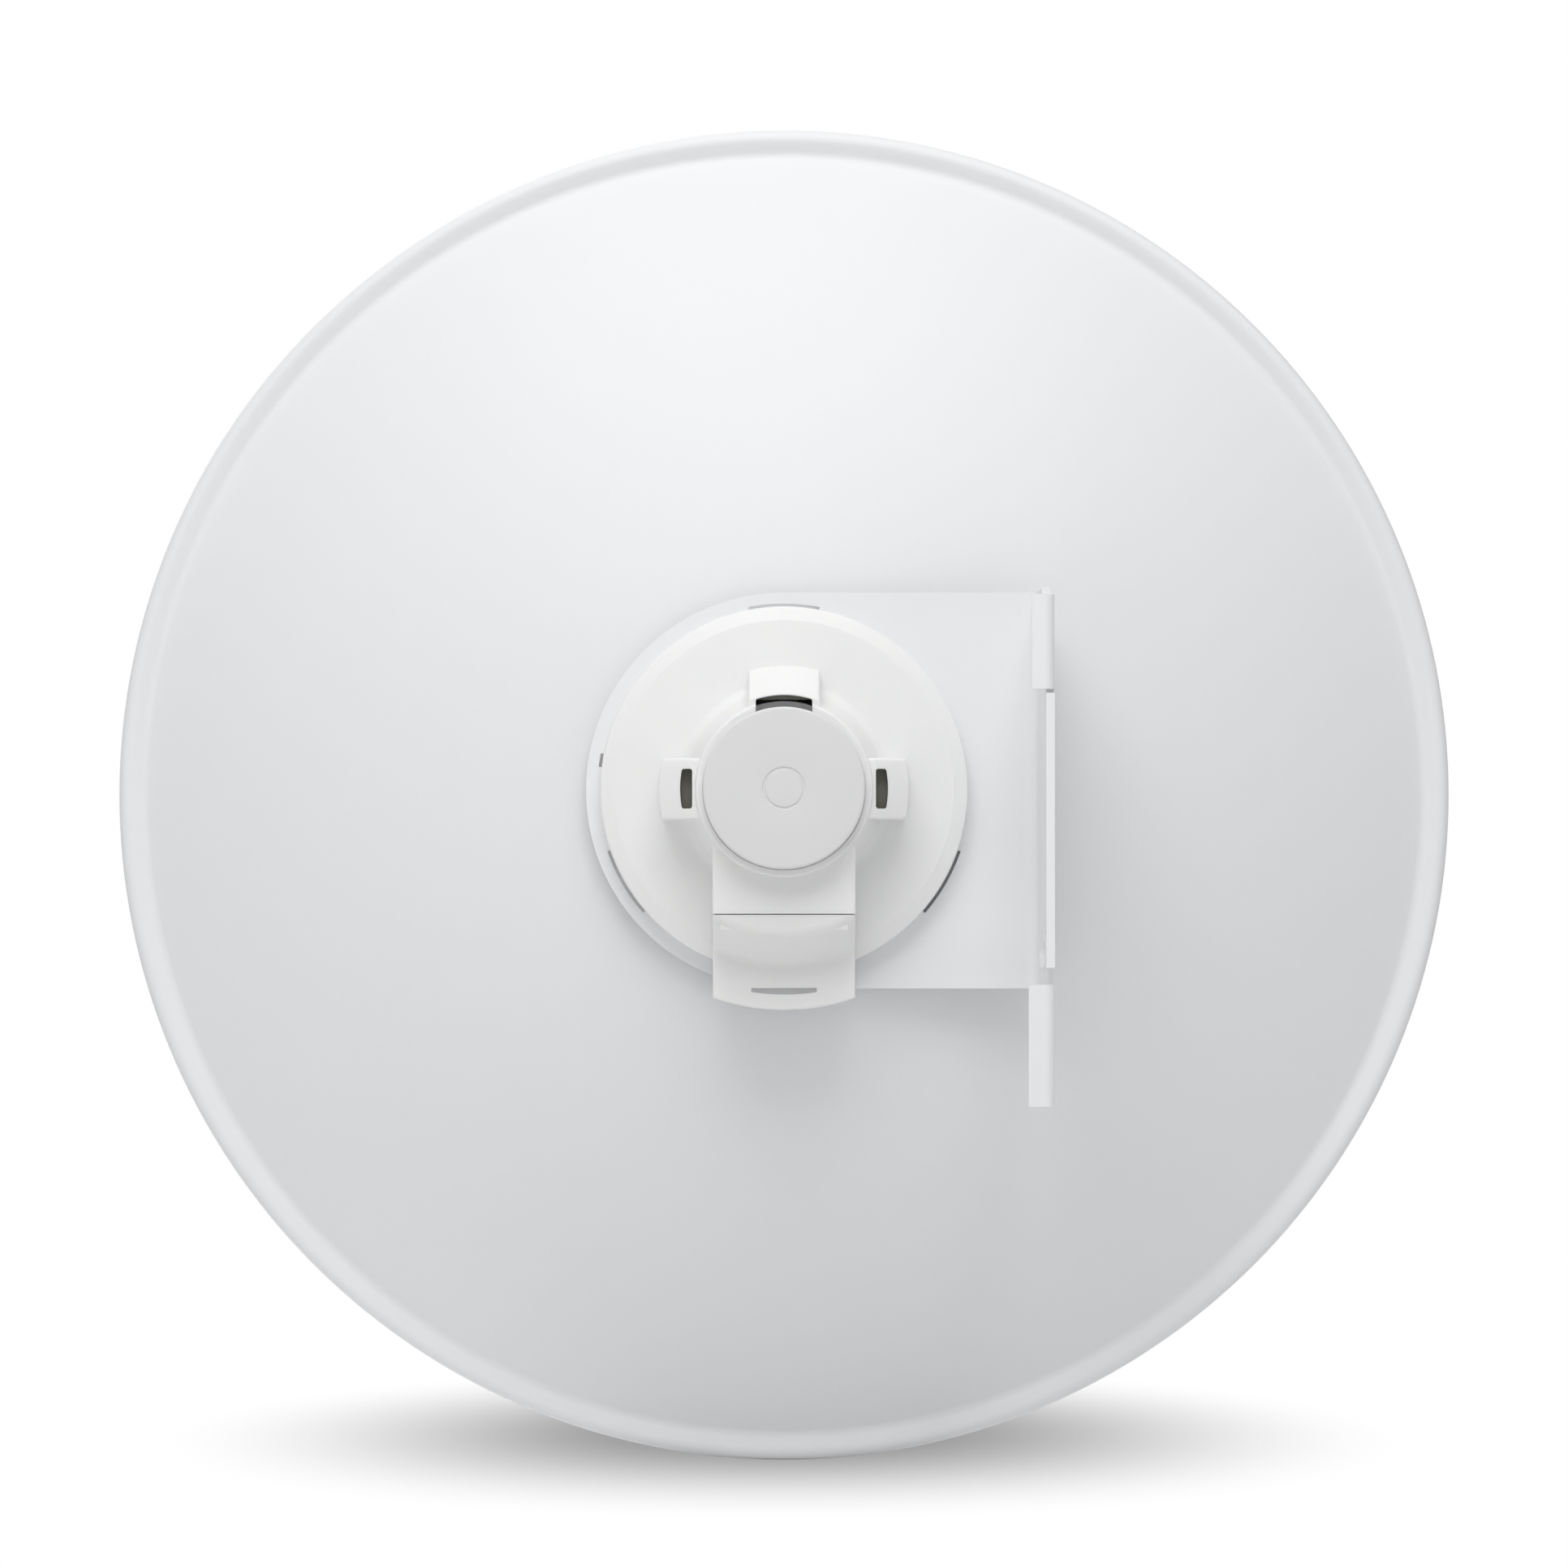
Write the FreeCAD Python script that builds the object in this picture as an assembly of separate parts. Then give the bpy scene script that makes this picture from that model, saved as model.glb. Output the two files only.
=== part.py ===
"""Outdoor wireless bridge: a dish reflector with a radio feed, a rear housing and an L-shaped mount bracket.

Everything is drawn in the antenna frame: the boresight is the Y axis and the antenna looks along -Y, Z is
up, and y = 0 is where the reflector's flat seat meets the bracket. Only save() moves a shape to the row
frame, whose origin is the elevation pivot hole at the leg's outer face. Sizes are in millimetres.
"""

import FreeCAD, Part
import math
import os

V = FreeCAD.Vector
BORESIGHT = V(0, 1, 0)
PARTS_FOLDER = "parts"
PAST = 5.0  # how far a cutting tool runs past the face that it opens

# Clearances
SEAM = 0.3  # between two covers, or a cover and what it slides over
LOOSE = 0.4  # around a piece that is dropped into its place
SNUG = 0.05  # between a screw, pin or bolt and its thread or hole

# Reflector
REFLECTOR_DIAMETER = 420.0
FOCAL_LENGTH = 150.0
REFLECTOR_SHEET = 1.2
SEAT_TO_HOOKS = 2.7  # keeps the seat's step clear of the housing's hooks
SEAT_STEP_HEIGHT = 3.0
SEAT_STEP_WIDTH = 4.0
RIM_ROLL_RADIUS = 3.0
RIM_FLAT_WIDTH = 2.4
RIM_SLOPE_WIDTH = 2.0
RIM_SLOPE_RISE = 0.9
RIM_FLAT_RISE = 0.9
RIM_VALLEY_RADIUS = 3.0
RIM_VALLEY_WIDTH = 2.2
RIM_SKIRT = 4.0
BOWL_POINTS = 9

# Radio feed tube, which slides into the housing from the front
TUBE_RADIUS = 24.0
TUBE_WALL = 2.0
TUBE_TAPER = 3.0  # how much narrower the front end is
TUBE_TAPER_START = -20.0
SHOULDER_RADIAL = 4.5
SHOULDER_THICKNESS = 2.5

# Mount bracket
BRACKET_SHEET = 2.5
PLATE_MARGIN = 4.5
LEG_GAP = 19.5  # from the plate's round end to the leg's outer face
LEG_DEPTH = 70.0
LEG_TOP_DROP = 3.5
LEG_BOTTOM_DROP = 34.0
BEND_RADIUS = 4.0
LIP_BEND_RADIUS = 0.5
UPPER_LIP_WIDTH = 6.7
UPPER_LIP_LENGTH = 28.0
LOWER_LIP_WIDTH = 7.7
LOWER_LIP_LENGTH = 36.0
LIP_RELIEF_WIDTH = 1.2
LIP_RELIEF_DEPTH = 4.0
LEG_CORNER_RADIUS = 2.0
MOUNT_BOLT_HOLE_RADIUS = 4.25
PIVOT_DEPTH = 36.0
PIVOT_HEIGHT = 38.0
ELEVATION_SLOT_RADIUS = 88.0
ELEVATION_HALF_ANGLE = 12.0

# Rear housing
HOUSING_RADIUS = 56.0
HOUSING_WALL = 2.2
HOUSING_SKIRT = 2.5
DISC_HEIGHT = 11.5
DISC_FALL = 3.0  # from the collar's foot out to the bevel
DISC_BEVEL_WIDTH = 4.3
DISC_BEVEL_DROP = 1.6
DISC_EDGE_RADIUS = 0.8
COLLAR_HEIGHT = 35.5
COLLAR_WALL = 2.0
COLLAR_FLARE = 4.0
COLLAR_FILLET = 4.0
COLLAR_EDGE_RADIUS = 0.7
BORE_CLEARANCE = 0.5
NOSE_PROUD = 0.8

# Snap hooks that hold the housing on the bracket plate
HOOK_ANGLES = (90.0, 210.0, 330.0)
HOOK_HALF_ANGLE = 9.5
HOOK_WALL = 2.0
HOOK_BARB = 0.9
HOOK_BARB_HEIGHT = 1.3
HOOK_SLOT_GAP = 1.1
HOOK_SLOT_HALF_ANGLE = 11.0

# Locating tab that sets which way up the housing goes on the plate
LOCATOR_ANGLE = 9.4
LOCATOR_HALF_ANGLE = 1.5
LOCATOR_SLOT_HALF_ANGLE = 2.1

# Hoods over the feed latches
HOOD_WALL = 2.0
HOOD_DROP = 2.0
HOOD_SLOPE_DROP = 7.0
HOOD_EDGE_RADIUS = 0.9
WINDOW_CORNER_RADIUS = 0.8
TOP_HOOD_WIDTH = 21.6
TOP_HOOD_LENGTH = 10.8  # outwards from the collar
TOP_WINDOW_WIDTH = 17.0
TOP_WINDOW_LENGTH = 1.7
SIDE_HOOD_WIDTH = 18.4
SIDE_HOOD_LENGTH = 11.3
SIDE_WINDOW_WIDTH = 12.0
SIDE_WINDOW_SETBACK = 1.1
SIDE_WINDOW_LENGTH = 3.7

# Feed latches
LATCH_WIDTH = 10.0
LATCH_THICKNESS = 1.6
LATCH_SINK = 0.8
LATCH_SETBACK = 9.6  # from the hoods' top to the latch's tip
LATCH_LENGTH = 24.0
LATCH_HOOK_LENGTH = 6.0
LATCH_HOOK_PROUD = 1.9
LATCH_KNUCKLE_RADIUS = 0.8

# Cable channel and its port cover
CHANNEL_WIDTH = 43.0
CHANNEL_WALL = 2.0
CHANNEL_SINK = 1.0
CHANNEL_SETBACK = 18.4  # from the disc's edge to the seam of the port cover
CHANNEL_MOUTH_SIDE_MARGIN = 2.7
CHANNEL_MOUTH_MARGIN = 1.5
COVER_OVERHANG = 10.7  # past the disc's edge
COVER_HIGH_LENGTH = 6.4
COVER_SCOOP_LENGTH = 9.0
COVER_LOW_HEIGHT = 20.5
COVER_BEND_RADIUS = 4.0
COVER_EDGE_RADIUS = 0.8
COVER_SIDE_RADIUS = 0.6
COVER_TONGUE_LENGTH = 3.6
COVER_TONGUE_ROOT = 4.5
COVER_TONGUE_THICKNESS = 2.0
COVER_RAIL_LENGTH = 8.5
RAIL_HEIGHT = 4.0
RAIL_WEB = 1.5
RAIL_HEAD = 1.4
RAIL_OVERHANG = 1.6
RAIL_INSET = 3.2
FINGER_SLOT_WIDTH = 19.8
FINGER_SLOT_HEIGHT = 2.0
FINGER_SLOT_MARGIN = 4.6
CABLE_NOTCH_WIDTH = 12.0
CABLE_NOTCH_HEIGHT = 10.0

# Tail cap
CAP_PROUD = 9.0
CAP_SINK = 2.0
CAP_FACE = 2.2
CAP_EDGE_RADIUS = 0.8
CAP_SPIGOT_LENGTH = 3.0
CAP_SPIGOT_WALL = 2.0
SEAL_SECTION = 0.8
EMBLEM_RADIUS = 6.0
EMBLEM_LINE = 0.9
EMBLEM_DEPTH = 0.35
CAP_RIB_WALL = 1.8
CAP_RIB_HALF_HEIGHT = 12.0

# Feed tip with the sub-reflector
TIP_RADIUS = 30.0
TIP_WALL = 2.2
TIP_LENGTH = 44.0
TIP_OVERLAP = 6.0
TIP_FLARE_LENGTH = 8.0
TIP_EDGE_RADIUS = 5.0
TIP_DOME = 2.5
SUB_REFLECTOR_SHEET = 1.0
SUB_REFLECTOR_GAP = 6.0
SUB_REFLECTOR_LEDGE = 2.0
ANTENNA_BOARD = 1.6
ANTENNA_BASE_MARGIN = 3.0
ANTENNA_SIDE_MARGIN = 5.0
ANTENNA_LENGTH = 42.0

# Radio board and what stands on it; the board's plane is off the boresight so that the jack is central
BOARD_THICKNESS = 1.6
BOARD_OFFSET = 9.0
BOARD_FRONT_SETBACK = 26.0
BOARD_MARGIN = 1.7
BOARD_TAIL_MARGIN = 2.8
BOARD_TAIL_START = -14.0
SHIELD_HEIGHT = 3.5
SHIELD_WALL = 0.5
SHIELD_MARGIN = 3.0
SHIELD_LENGTH = 70.0
SHIELD_REAR = -26.0
PAD_THICKNESS = 0.8
SPREADER_THICKNESS = 1.8
SPREADER_HALF_HEIGHT = 7.0
TRAY_THICKNESS = 2.0
TRAY_REAR = -8.0
TRAY_FRONT_SETBACK = 30.0
TRAY_RIB = 2.5
STANDOFF_RADIUS = 2.4
STANDOFF_MARGIN = 5.2
SCREW_INSET = 12.0
SCREW_RADIUS = 1.2
SCREW_HEAD_RADIUS = 2.2
SCREW_HEAD_HEIGHT = 1.6
SCREW_LENGTH = 4.2

# LAN jack, its mouth facing down the cable channel
JACK_WIDTH = 16.0
JACK_HEIGHT = 13.5
JACK_DEPTH = 16.0
JACK_SETBACK = 1.5  # behind the tail cap's spigot
JACK_MOUTH_DEPTH = 4.0  # inside the feed tube's outer wall
SOCKET_WIDTH = 12.0
SOCKET_HEIGHT = 8.4
SOCKET_DEPTH = 12.5
SOCKET_FLOOR = 1.6
CLIP_NOTCH_WIDTH = 4.4
CLIP_NOTCH_HEIGHT = 1.9

# Reset button and status light pipes, beside the jack
INDICATOR_X = -12.5
BUTTON_SETBACK = 4.0  # behind the disc's face
BUTTON_RADIUS = 1.3
BUTTON_LENGTH = 5.9
BUTTON_TRAVEL = 0.6
BUTTON_FLANGE_RADIUS = 2.1
BUTTON_FLANGE_HEIGHT = 1.0
BUTTON_RECESS = 0.2
SWITCH_SIZE = (6.0, 5.0, 4.0)
LIGHT_COUNT = 6
LIGHT_PITCH = 2.0
LIGHT_SETBACK = 4.2  # behind the button
LIGHT_RADIUS = 0.7
LIGHT_LENGTH = 5.2
LIGHT_BAR = 1.4

# Carriage bolts that hold the reflector on the bracket plate
BOLT_RADIUS = 3.0
BOLT_HEAD_RADIUS = 6.5
BOLT_HEAD_HEIGHT = 3.0
BOLT_NECK_SIDE = 6.0
BOLT_NECK_LENGTH = 3.0
BOLT_PAST_NUT = 0.8
BOLT_ANGLES = (45.0, 135.0, 225.0, 315.0)
NUT_FLATS = 10.0
NUT_HEIGHT = 5.0
WASHER_RADIUS = 6.2
WASHER_THICKNESS = 1.4

# Places worked out from the sizes above
BORE_RADIUS = TUBE_RADIUS + BORE_CLEARANCE
COLLAR_RADIUS = BORE_RADIUS + COLLAR_WALL
TUBE_FRONT = -FOCAL_LENGTH
TUBE_FRONT_RADIUS = TUBE_RADIUS - TUBE_TAPER
TUBE_INNER_RADIUS = TUBE_RADIUS - TUBE_WALL
TUBE_FRONT_INNER_RADIUS = TUBE_FRONT_RADIUS - TUBE_WALL
PLATE_REAR = BRACKET_SHEET
DISC_FACE = PLATE_REAR + DISC_HEIGHT
DISC_RIM = DISC_FACE - DISC_FALL
DISC_EDGE = DISC_RIM - DISC_BEVEL_DROP
COLLAR_TOP = PLATE_REAR + COLLAR_HEIGHT
CHANNEL_TOP = COLLAR_TOP - CHANNEL_SINK
CHANNEL_END = HOUSING_RADIUS - CHANNEL_SETBACK
CHANNEL_MOUTH_WIDTH = CHANNEL_WIDTH - 2 * (CHANNEL_WALL + CHANNEL_MOUTH_SIDE_MARGIN)
COVER_REACH = HOUSING_RADIUS + COVER_OVERHANG
COVER_HIGH_REACH = CHANNEL_END + COVER_HIGH_LENGTH
COVER_LOW_START = COVER_HIGH_REACH + COVER_SCOOP_LENGTH
FINGER_SLOT_REACH = COVER_REACH - FINGER_SLOT_MARGIN
HOOD_TOP = COLLAR_TOP - HOOD_DROP
TOP_HOOD_REACH = COLLAR_RADIUS + TOP_HOOD_LENGTH
TOP_WINDOW_REACH = COLLAR_RADIUS + TOP_WINDOW_LENGTH
SIDE_HOOD_REACH = COLLAR_RADIUS + SIDE_HOOD_LENGTH
SIDE_WINDOW_START = COLLAR_RADIUS + SIDE_WINDOW_SETBACK
SIDE_WINDOW_REACH = SIDE_WINDOW_START + SIDE_WINDOW_LENGTH
LATCH_TIP = HOOD_TOP - LATCH_SETBACK
LATCH_ROOT = LATCH_TIP - LATCH_LENGTH
NOSE_FRONT = -REFLECTOR_SHEET - NOSE_PROUD
TUBE_REAR = COLLAR_TOP - CAP_SINK
CAP_REAR = COLLAR_TOP + CAP_PROUD
PLATE_RADIUS = HOUSING_RADIUS + PLATE_MARGIN
CENTRE_HOLE_RADIUS = COLLAR_RADIUS + LOOSE
COLLAR_FOOT_RADIUS = COLLAR_RADIUS + COLLAR_FLARE
HOUSING_INSIDE_RADIUS = HOUSING_RADIUS - DISC_BEVEL_WIDTH - HOUSING_WALL / 2
BOLT_CIRCLE_RADIUS = (CENTRE_HOLE_RADIUS + HOUSING_INSIDE_RADIUS) / 2
HOOK_INNER_RADIUS = HOUSING_RADIUS - HOOK_WALL
BARB_INNER_RADIUS = HOOK_INNER_RADIUS - LOOSE - HOOK_BARB
SEAT_RADIUS = BARB_INNER_RADIUS - SEAT_TO_HOOKS
TIP_FRONT = TUBE_FRONT - TIP_LENGTH
BOARD_SIDE = -BOARD_OFFSET + BOARD_THICKNESS
BOARD_REAR = TUBE_REAR - CAP_SPIGOT_LENGTH + 1.0
BOARD_FRONT = TUBE_FRONT + BOARD_FRONT_SETBACK
BOARD_HALF_HEIGHT = math.sqrt(TUBE_FRONT_INNER_RADIUS**2 - BOARD_OFFSET**2) - BOARD_MARGIN
BOARD_TAIL_HALF_HEIGHT = math.sqrt(TUBE_INNER_RADIUS**2 - BOARD_OFFSET**2) - BOARD_TAIL_MARGIN
SHIELD_FRONT = SHIELD_REAR - SHIELD_LENGTH
SHIELD_HALF_HEIGHT = BOARD_HALF_HEIGHT - SHIELD_MARGIN
TRAY_FRONT = TUBE_FRONT + TRAY_FRONT_SETBACK
TRAY_HALF_HEIGHT = BOARD_HALF_HEIGHT - SHIELD_MARGIN
STANDOFF_HEIGHT_Z = BOARD_HALF_HEIGHT - STANDOFF_MARGIN
ANTENNA_BASE_RADIUS = TUBE_FRONT_INNER_RADIUS - ANTENNA_BASE_MARGIN
ANTENNA_HALF_WIDTH = TUBE_FRONT_INNER_RADIUS - ANTENNA_SIDE_MARGIN
JACK_REAR = TUBE_REAR - CAP_SPIGOT_LENGTH - JACK_SETBACK
JACK_MOUTH_Z = -TUBE_RADIUS + JACK_MOUTH_DEPTH
BUTTON_Y = DISC_FACE + BUTTON_SETBACK
LIGHT_FIRST_Y = BUTTON_Y + LIGHT_SETBACK
LEG_OFFSET = PLATE_RADIUS + LEG_GAP
LEG_INSIDE = -LEG_OFFSET + BRACKET_SHEET
LEG_TOP = PLATE_RADIUS - LEG_TOP_DROP
LEG_BOTTOM = -PLATE_RADIUS - LEG_BOTTOM_DROP
ROW_ORIGIN = V(-LEG_OFFSET, PIVOT_DEPTH, PIVOT_HEIGHT)
LATCH_TURNS = {"top": 0.0, "left": -90.0, "right": 90.0}  # about the boresight, from straight up
WHOLE = 500.0  # longer than any piece


def block(x_low, x_high, y_low, y_high, z_low, z_high):
    """A box between two corners."""
    return Part.makeBox(x_high - x_low, y_high - y_low, z_high - z_low, V(x_low, y_low, z_low))


def rod(radius, start, end):
    """A cylinder from one point to another."""
    along = V(*end) - V(*start)
    return Part.makeCylinder(radius, along.Length, V(*start), along)


def tube(radius, y_low, y_high):
    """A cylinder on the boresight."""
    return rod(radius, (0, y_low, 0), (0, y_high, 0))


def turned(shape, degrees):
    """A copy of the shape, turned about the boresight. 90 takes what points up to -X, the leg's side."""
    copy = shape.copy()
    copy.rotate(V(0, 0, 0), BORESIGHT, -degrees)
    return copy


def at_angle(radius, degrees, y=0.0):
    """A point at a radius from the boresight, 0 degrees being +X and 90 straight up."""
    angle = math.radians(degrees)
    return V(radius * math.cos(angle), y, radius * math.sin(angle))


def outline(corners):
    """A closed wire in the XY plane through (a, b) or (a, b, corner radius) points."""
    points = [V(c[0], c[1], 0) for c in corners]
    radii = [c[2] if len(c) > 2 else 0.0 for c in corners]
    count = len(points)
    edges = []
    ends = []
    for i in range(count):
        to_last = (points[i - 1] - points[i]).normalize()
        to_next = (points[(i + 1) % count] - points[i]).normalize()
        if radii[i] <= 0:
            ends.append((points[i], None, points[i]))
            continue
        half = to_last.getAngle(to_next) / 2
        cut = radii[i] / math.tan(half)
        middle_way = (to_last + to_next).normalize()
        centre = points[i] + middle_way * (radii[i] / math.sin(half))
        ends.append((points[i] + to_last * cut, centre - middle_way * radii[i], points[i] + to_next * cut))
    for i in range(count):
        first, middle, last = ends[i]
        if middle is not None:
            edges.append(Part.Arc(first, middle, last).toShape())
        start_of_next = ends[(i + 1) % count][0]
        if (start_of_next - last).Length > 1e-7:
            edges.append(Part.LineSegment(last, start_of_next).toShape())
    return Part.Wire(edges)


def spun(corners):
    """A solid of revolution about the boresight from (radius, y) corners."""
    return Part.Face(outline(corners)).revolve(V(0, 0, 0), BORESIGHT, 360)


def plate_xz(corners, y_low, y_high):
    """A flat piece from (x, z) corners, between two places along the boresight."""
    face = Part.Face(outline(corners))
    face.rotate(V(0, 0, 0), V(1, 0, 0), 90)
    face.translate(V(0, y_low, 0))
    return face.extrude(V(0, y_high - y_low, 0))


def plate_yz(corners, x_low, x_high):
    """A flat piece from (y, z) corners, between two places across the antenna."""
    face = Part.Face(outline(corners))
    face.rotate(V(0, 0, 0), V(1, 1, 1), 120)
    face.translate(V(x_low, 0, 0))
    return face.extrude(V(x_high - x_low, 0, 0))


def ring_sector(inner, outer, y_low, y_high, middle_degrees, half_degrees):
    """A stretch of a ring on the boresight."""
    start = at_angle(inner, middle_degrees - half_degrees, y_low)
    end = at_angle(outer, middle_degrees - half_degrees, y_low)
    rise = V(0, y_high - y_low, 0)
    corners = [start, end, end + rise, start + rise, start]
    face = Part.Face(Part.makePolygon(corners))
    return face.revolve(V(0, 0, 0), V(0, -1, 0), 2 * half_degrees)


def edges_across(shape, half):
    """The shape's edges that lie wholly on one of its two side faces, half its width from the middle."""
    found = []
    for edge in shape.Edges:
        box = edge.BoundBox
        if box.XLength < SNUG and abs(abs(box.Center.x) - half) < SNUG:
            found.append(edge)
    return found


def save(name, shape):
    """Writes one node in the row frame."""
    moved = shape.copy()
    moved.translate(-ROW_ORIGIN)
    moved.exportStep(os.path.join(PARTS_FOLDER, name + ".step"))
    print(f"{name}: {len(moved.Solids)} solid(s), {moved.Volume / 1000:.2f} cm3, valid {moved.isValid()}")


def bowl_depth(radius):
    """How far ahead of the seat the reflector's rear face lies at a radius outside the seat."""
    start = SEAT_RADIUS + SEAT_STEP_WIDTH
    return SEAT_STEP_HEIGHT + (radius**2 - start**2) / (4 * FOCAL_LENGTH)


def reflector():
    """The pressed dish: flat seat, parabolic bowl and rolled rim, with its centre and bolt holes."""
    outer = REFLECTOR_DIAMETER / 2
    flat_start = outer - RIM_ROLL_RADIUS - RIM_FLAT_WIDTH
    slope = math.atan2(RIM_SLOPE_RISE, RIM_SLOPE_WIDTH)
    flat_slope = math.atan2(RIM_FLAT_RISE, RIM_FLAT_WIDTH)
    bowl_start = SEAT_RADIUS + SEAT_STEP_WIDTH
    bowl_end = flat_start - RIM_SLOPE_WIDTH - RIM_VALLEY_WIDTH

    def heading(radius):
        return -math.atan(radius / (2 * FOCAL_LENGTH))

    def normal(angle):
        return V(-math.sin(angle), math.cos(angle), 0)

    def bowl(offset):
        points = []
        for i in range(BOWL_POINTS):
            radius = bowl_start + (bowl_end - bowl_start) * i / (BOWL_POINTS - 1)
            points.append(V(radius, -bowl_depth(radius), 0) - normal(heading(radius)) * offset)
        curve = Part.BSplineCurve()
        curve.interpolate(points)
        return curve.toShape(), points[0], points[-1]

    def rim(offset, valley_centre):
        """Rear (offset 0) or front face from the bowl's end to the rolled edge's foot."""
        radius = RIM_VALLEY_RADIUS + offset
        turn = [heading(bowl_end), (heading(bowl_end) + slope) / 2, slope]
        arc = [valley_centre - normal(angle) * radius for angle in turn]
        across_corner = offset / math.cos((slope - flat_slope) / 2)
        flat_corner = V(flat_start, valley_floor_y, 0) - normal((slope + flat_slope) / 2) * across_corner
        roll = RIM_ROLL_RADIUS - offset
        roll_start = roll_centre + normal(flat_slope) * roll
        roll_middle = roll_centre + normal((flat_slope - math.pi / 2) / 2) * roll
        roll_side = roll_centre + V(roll, 0, 0)
        foot = roll_side - V(0, RIM_SKIRT, 0)
        edges = [
            Part.Arc(*arc).toShape(),
            Part.LineSegment(arc[2], flat_corner).toShape(),
            Part.LineSegment(flat_corner, roll_start).toShape(),
            Part.Arc(roll_start, roll_middle, roll_side).toShape(),
            Part.LineSegment(roll_side, foot).toShape(),
        ]
        return edges, foot

    rear_curve, rear_start, rear_end = bowl(0.0)
    front_curve, front_start, _ = bowl(REFLECTOR_SHEET)
    valley_centre = rear_end + normal(heading(bowl_end)) * RIM_VALLEY_RADIUS
    slope_start = valley_centre - normal(slope) * RIM_VALLEY_RADIUS
    valley_floor_y = slope_start.y + (flat_start - slope_start.x) * math.tan(slope)
    flat_end_x = outer - RIM_ROLL_RADIUS * (1 + math.sin(flat_slope))
    flat_end = V(flat_end_x, valley_floor_y + (flat_end_x - flat_start) * math.tan(flat_slope), 0)
    roll_centre = flat_end - normal(flat_slope) * RIM_ROLL_RADIUS
    rear_rim, rear_foot = rim(0.0, valley_centre)
    front_rim, front_foot = rim(REFLECTOR_SHEET, valley_centre)

    step = math.atan2(SEAT_STEP_HEIGHT, SEAT_STEP_WIDTH)
    rear_seat = [V(CENTRE_HOLE_RADIUS, 0, 0), V(SEAT_RADIUS, 0, 0), rear_start]
    front_seat_edge = SEAT_RADIUS - REFLECTOR_SHEET * math.tan(step / 2)
    front_y = -REFLECTOR_SHEET
    front_seat = [V(CENTRE_HOLE_RADIUS, front_y, 0), V(front_seat_edge, front_y, 0), front_start]
    edges = [rear_curve, front_curve] + rear_rim + front_rim
    for seat in (rear_seat, front_seat):
        edges.append(Part.LineSegment(seat[0], seat[1]).toShape())
        edges.append(Part.LineSegment(seat[1], seat[2]).toShape())
    edges.append(Part.LineSegment(rear_seat[0], front_seat[0]).toShape())
    edges.append(Part.LineSegment(rear_foot, front_foot).toShape())
    section = Part.Wire(Part.__sortEdges__(edges))
    dish = Part.Face(section).revolve(V(0, 0, 0), BORESIGHT, 360)
    return dish.cut(bolt_necks(LOOSE / 2))


def bolt_necks(room=0.0):
    """The carriage bolts' square necks, grown by some room for the holes they sit in."""
    half = BOLT_NECK_SIDE / 2 + room
    neck = block(-half, half, -REFLECTOR_SHEET - room, BOLT_NECK_LENGTH - REFLECTOR_SHEET + room, -half, half)
    necks = []
    for angle in BOLT_ANGLES:
        copy = turned(neck, 90 - angle)
        copy.translate(at_angle(BOLT_CIRCLE_RADIUS, angle))
        necks.append(copy)
    return Part.makeCompound(necks)


def bent_strip(corners, z_low, z_high):
    """A strip of sheet seen along Z, from (x, y) corners."""
    face = Part.Face(outline(corners))
    face.translate(V(0, 0, z_low))
    return face.extrude(V(0, 0, z_high - z_low))


def bracket_blank():
    """The bracket's bent sheet before its lips and holes: the round-ended plate and the leg."""
    reach = -LEG_OFFSET + BEND_RADIUS + BRACKET_SHEET
    plate = tube(PLATE_RADIUS, 0, BRACKET_SHEET)
    plate = plate.fuse(block(reach, 0, 0, BRACKET_SHEET, -PLATE_RADIUS, PLATE_RADIUS))
    bend_outer = BEND_RADIUS + BRACKET_SHEET
    bend = bent_strip(
        [
            (reach, 0),
            (-LEG_OFFSET, 0, bend_outer),
            (-LEG_OFFSET, LEG_DEPTH / 2),
            (LEG_INSIDE, LEG_DEPTH / 2),
            (LEG_INSIDE, BRACKET_SHEET, BEND_RADIUS),
            (reach, BRACKET_SHEET),
        ],
        -PLATE_RADIUS,
        PLATE_RADIUS,
    )
    leg = plate_yz(
        [
            (bend_outer, PLATE_RADIUS),
            (LEG_DEPTH, LEG_TOP),
            (LEG_DEPTH, LEG_BOTTOM),
            (bend_outer, LEG_BOTTOM, LEG_CORNER_RADIUS),
        ],
        -LEG_OFFSET,
        LEG_INSIDE,
    )
    return plate.fuse([bend, leg])


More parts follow.
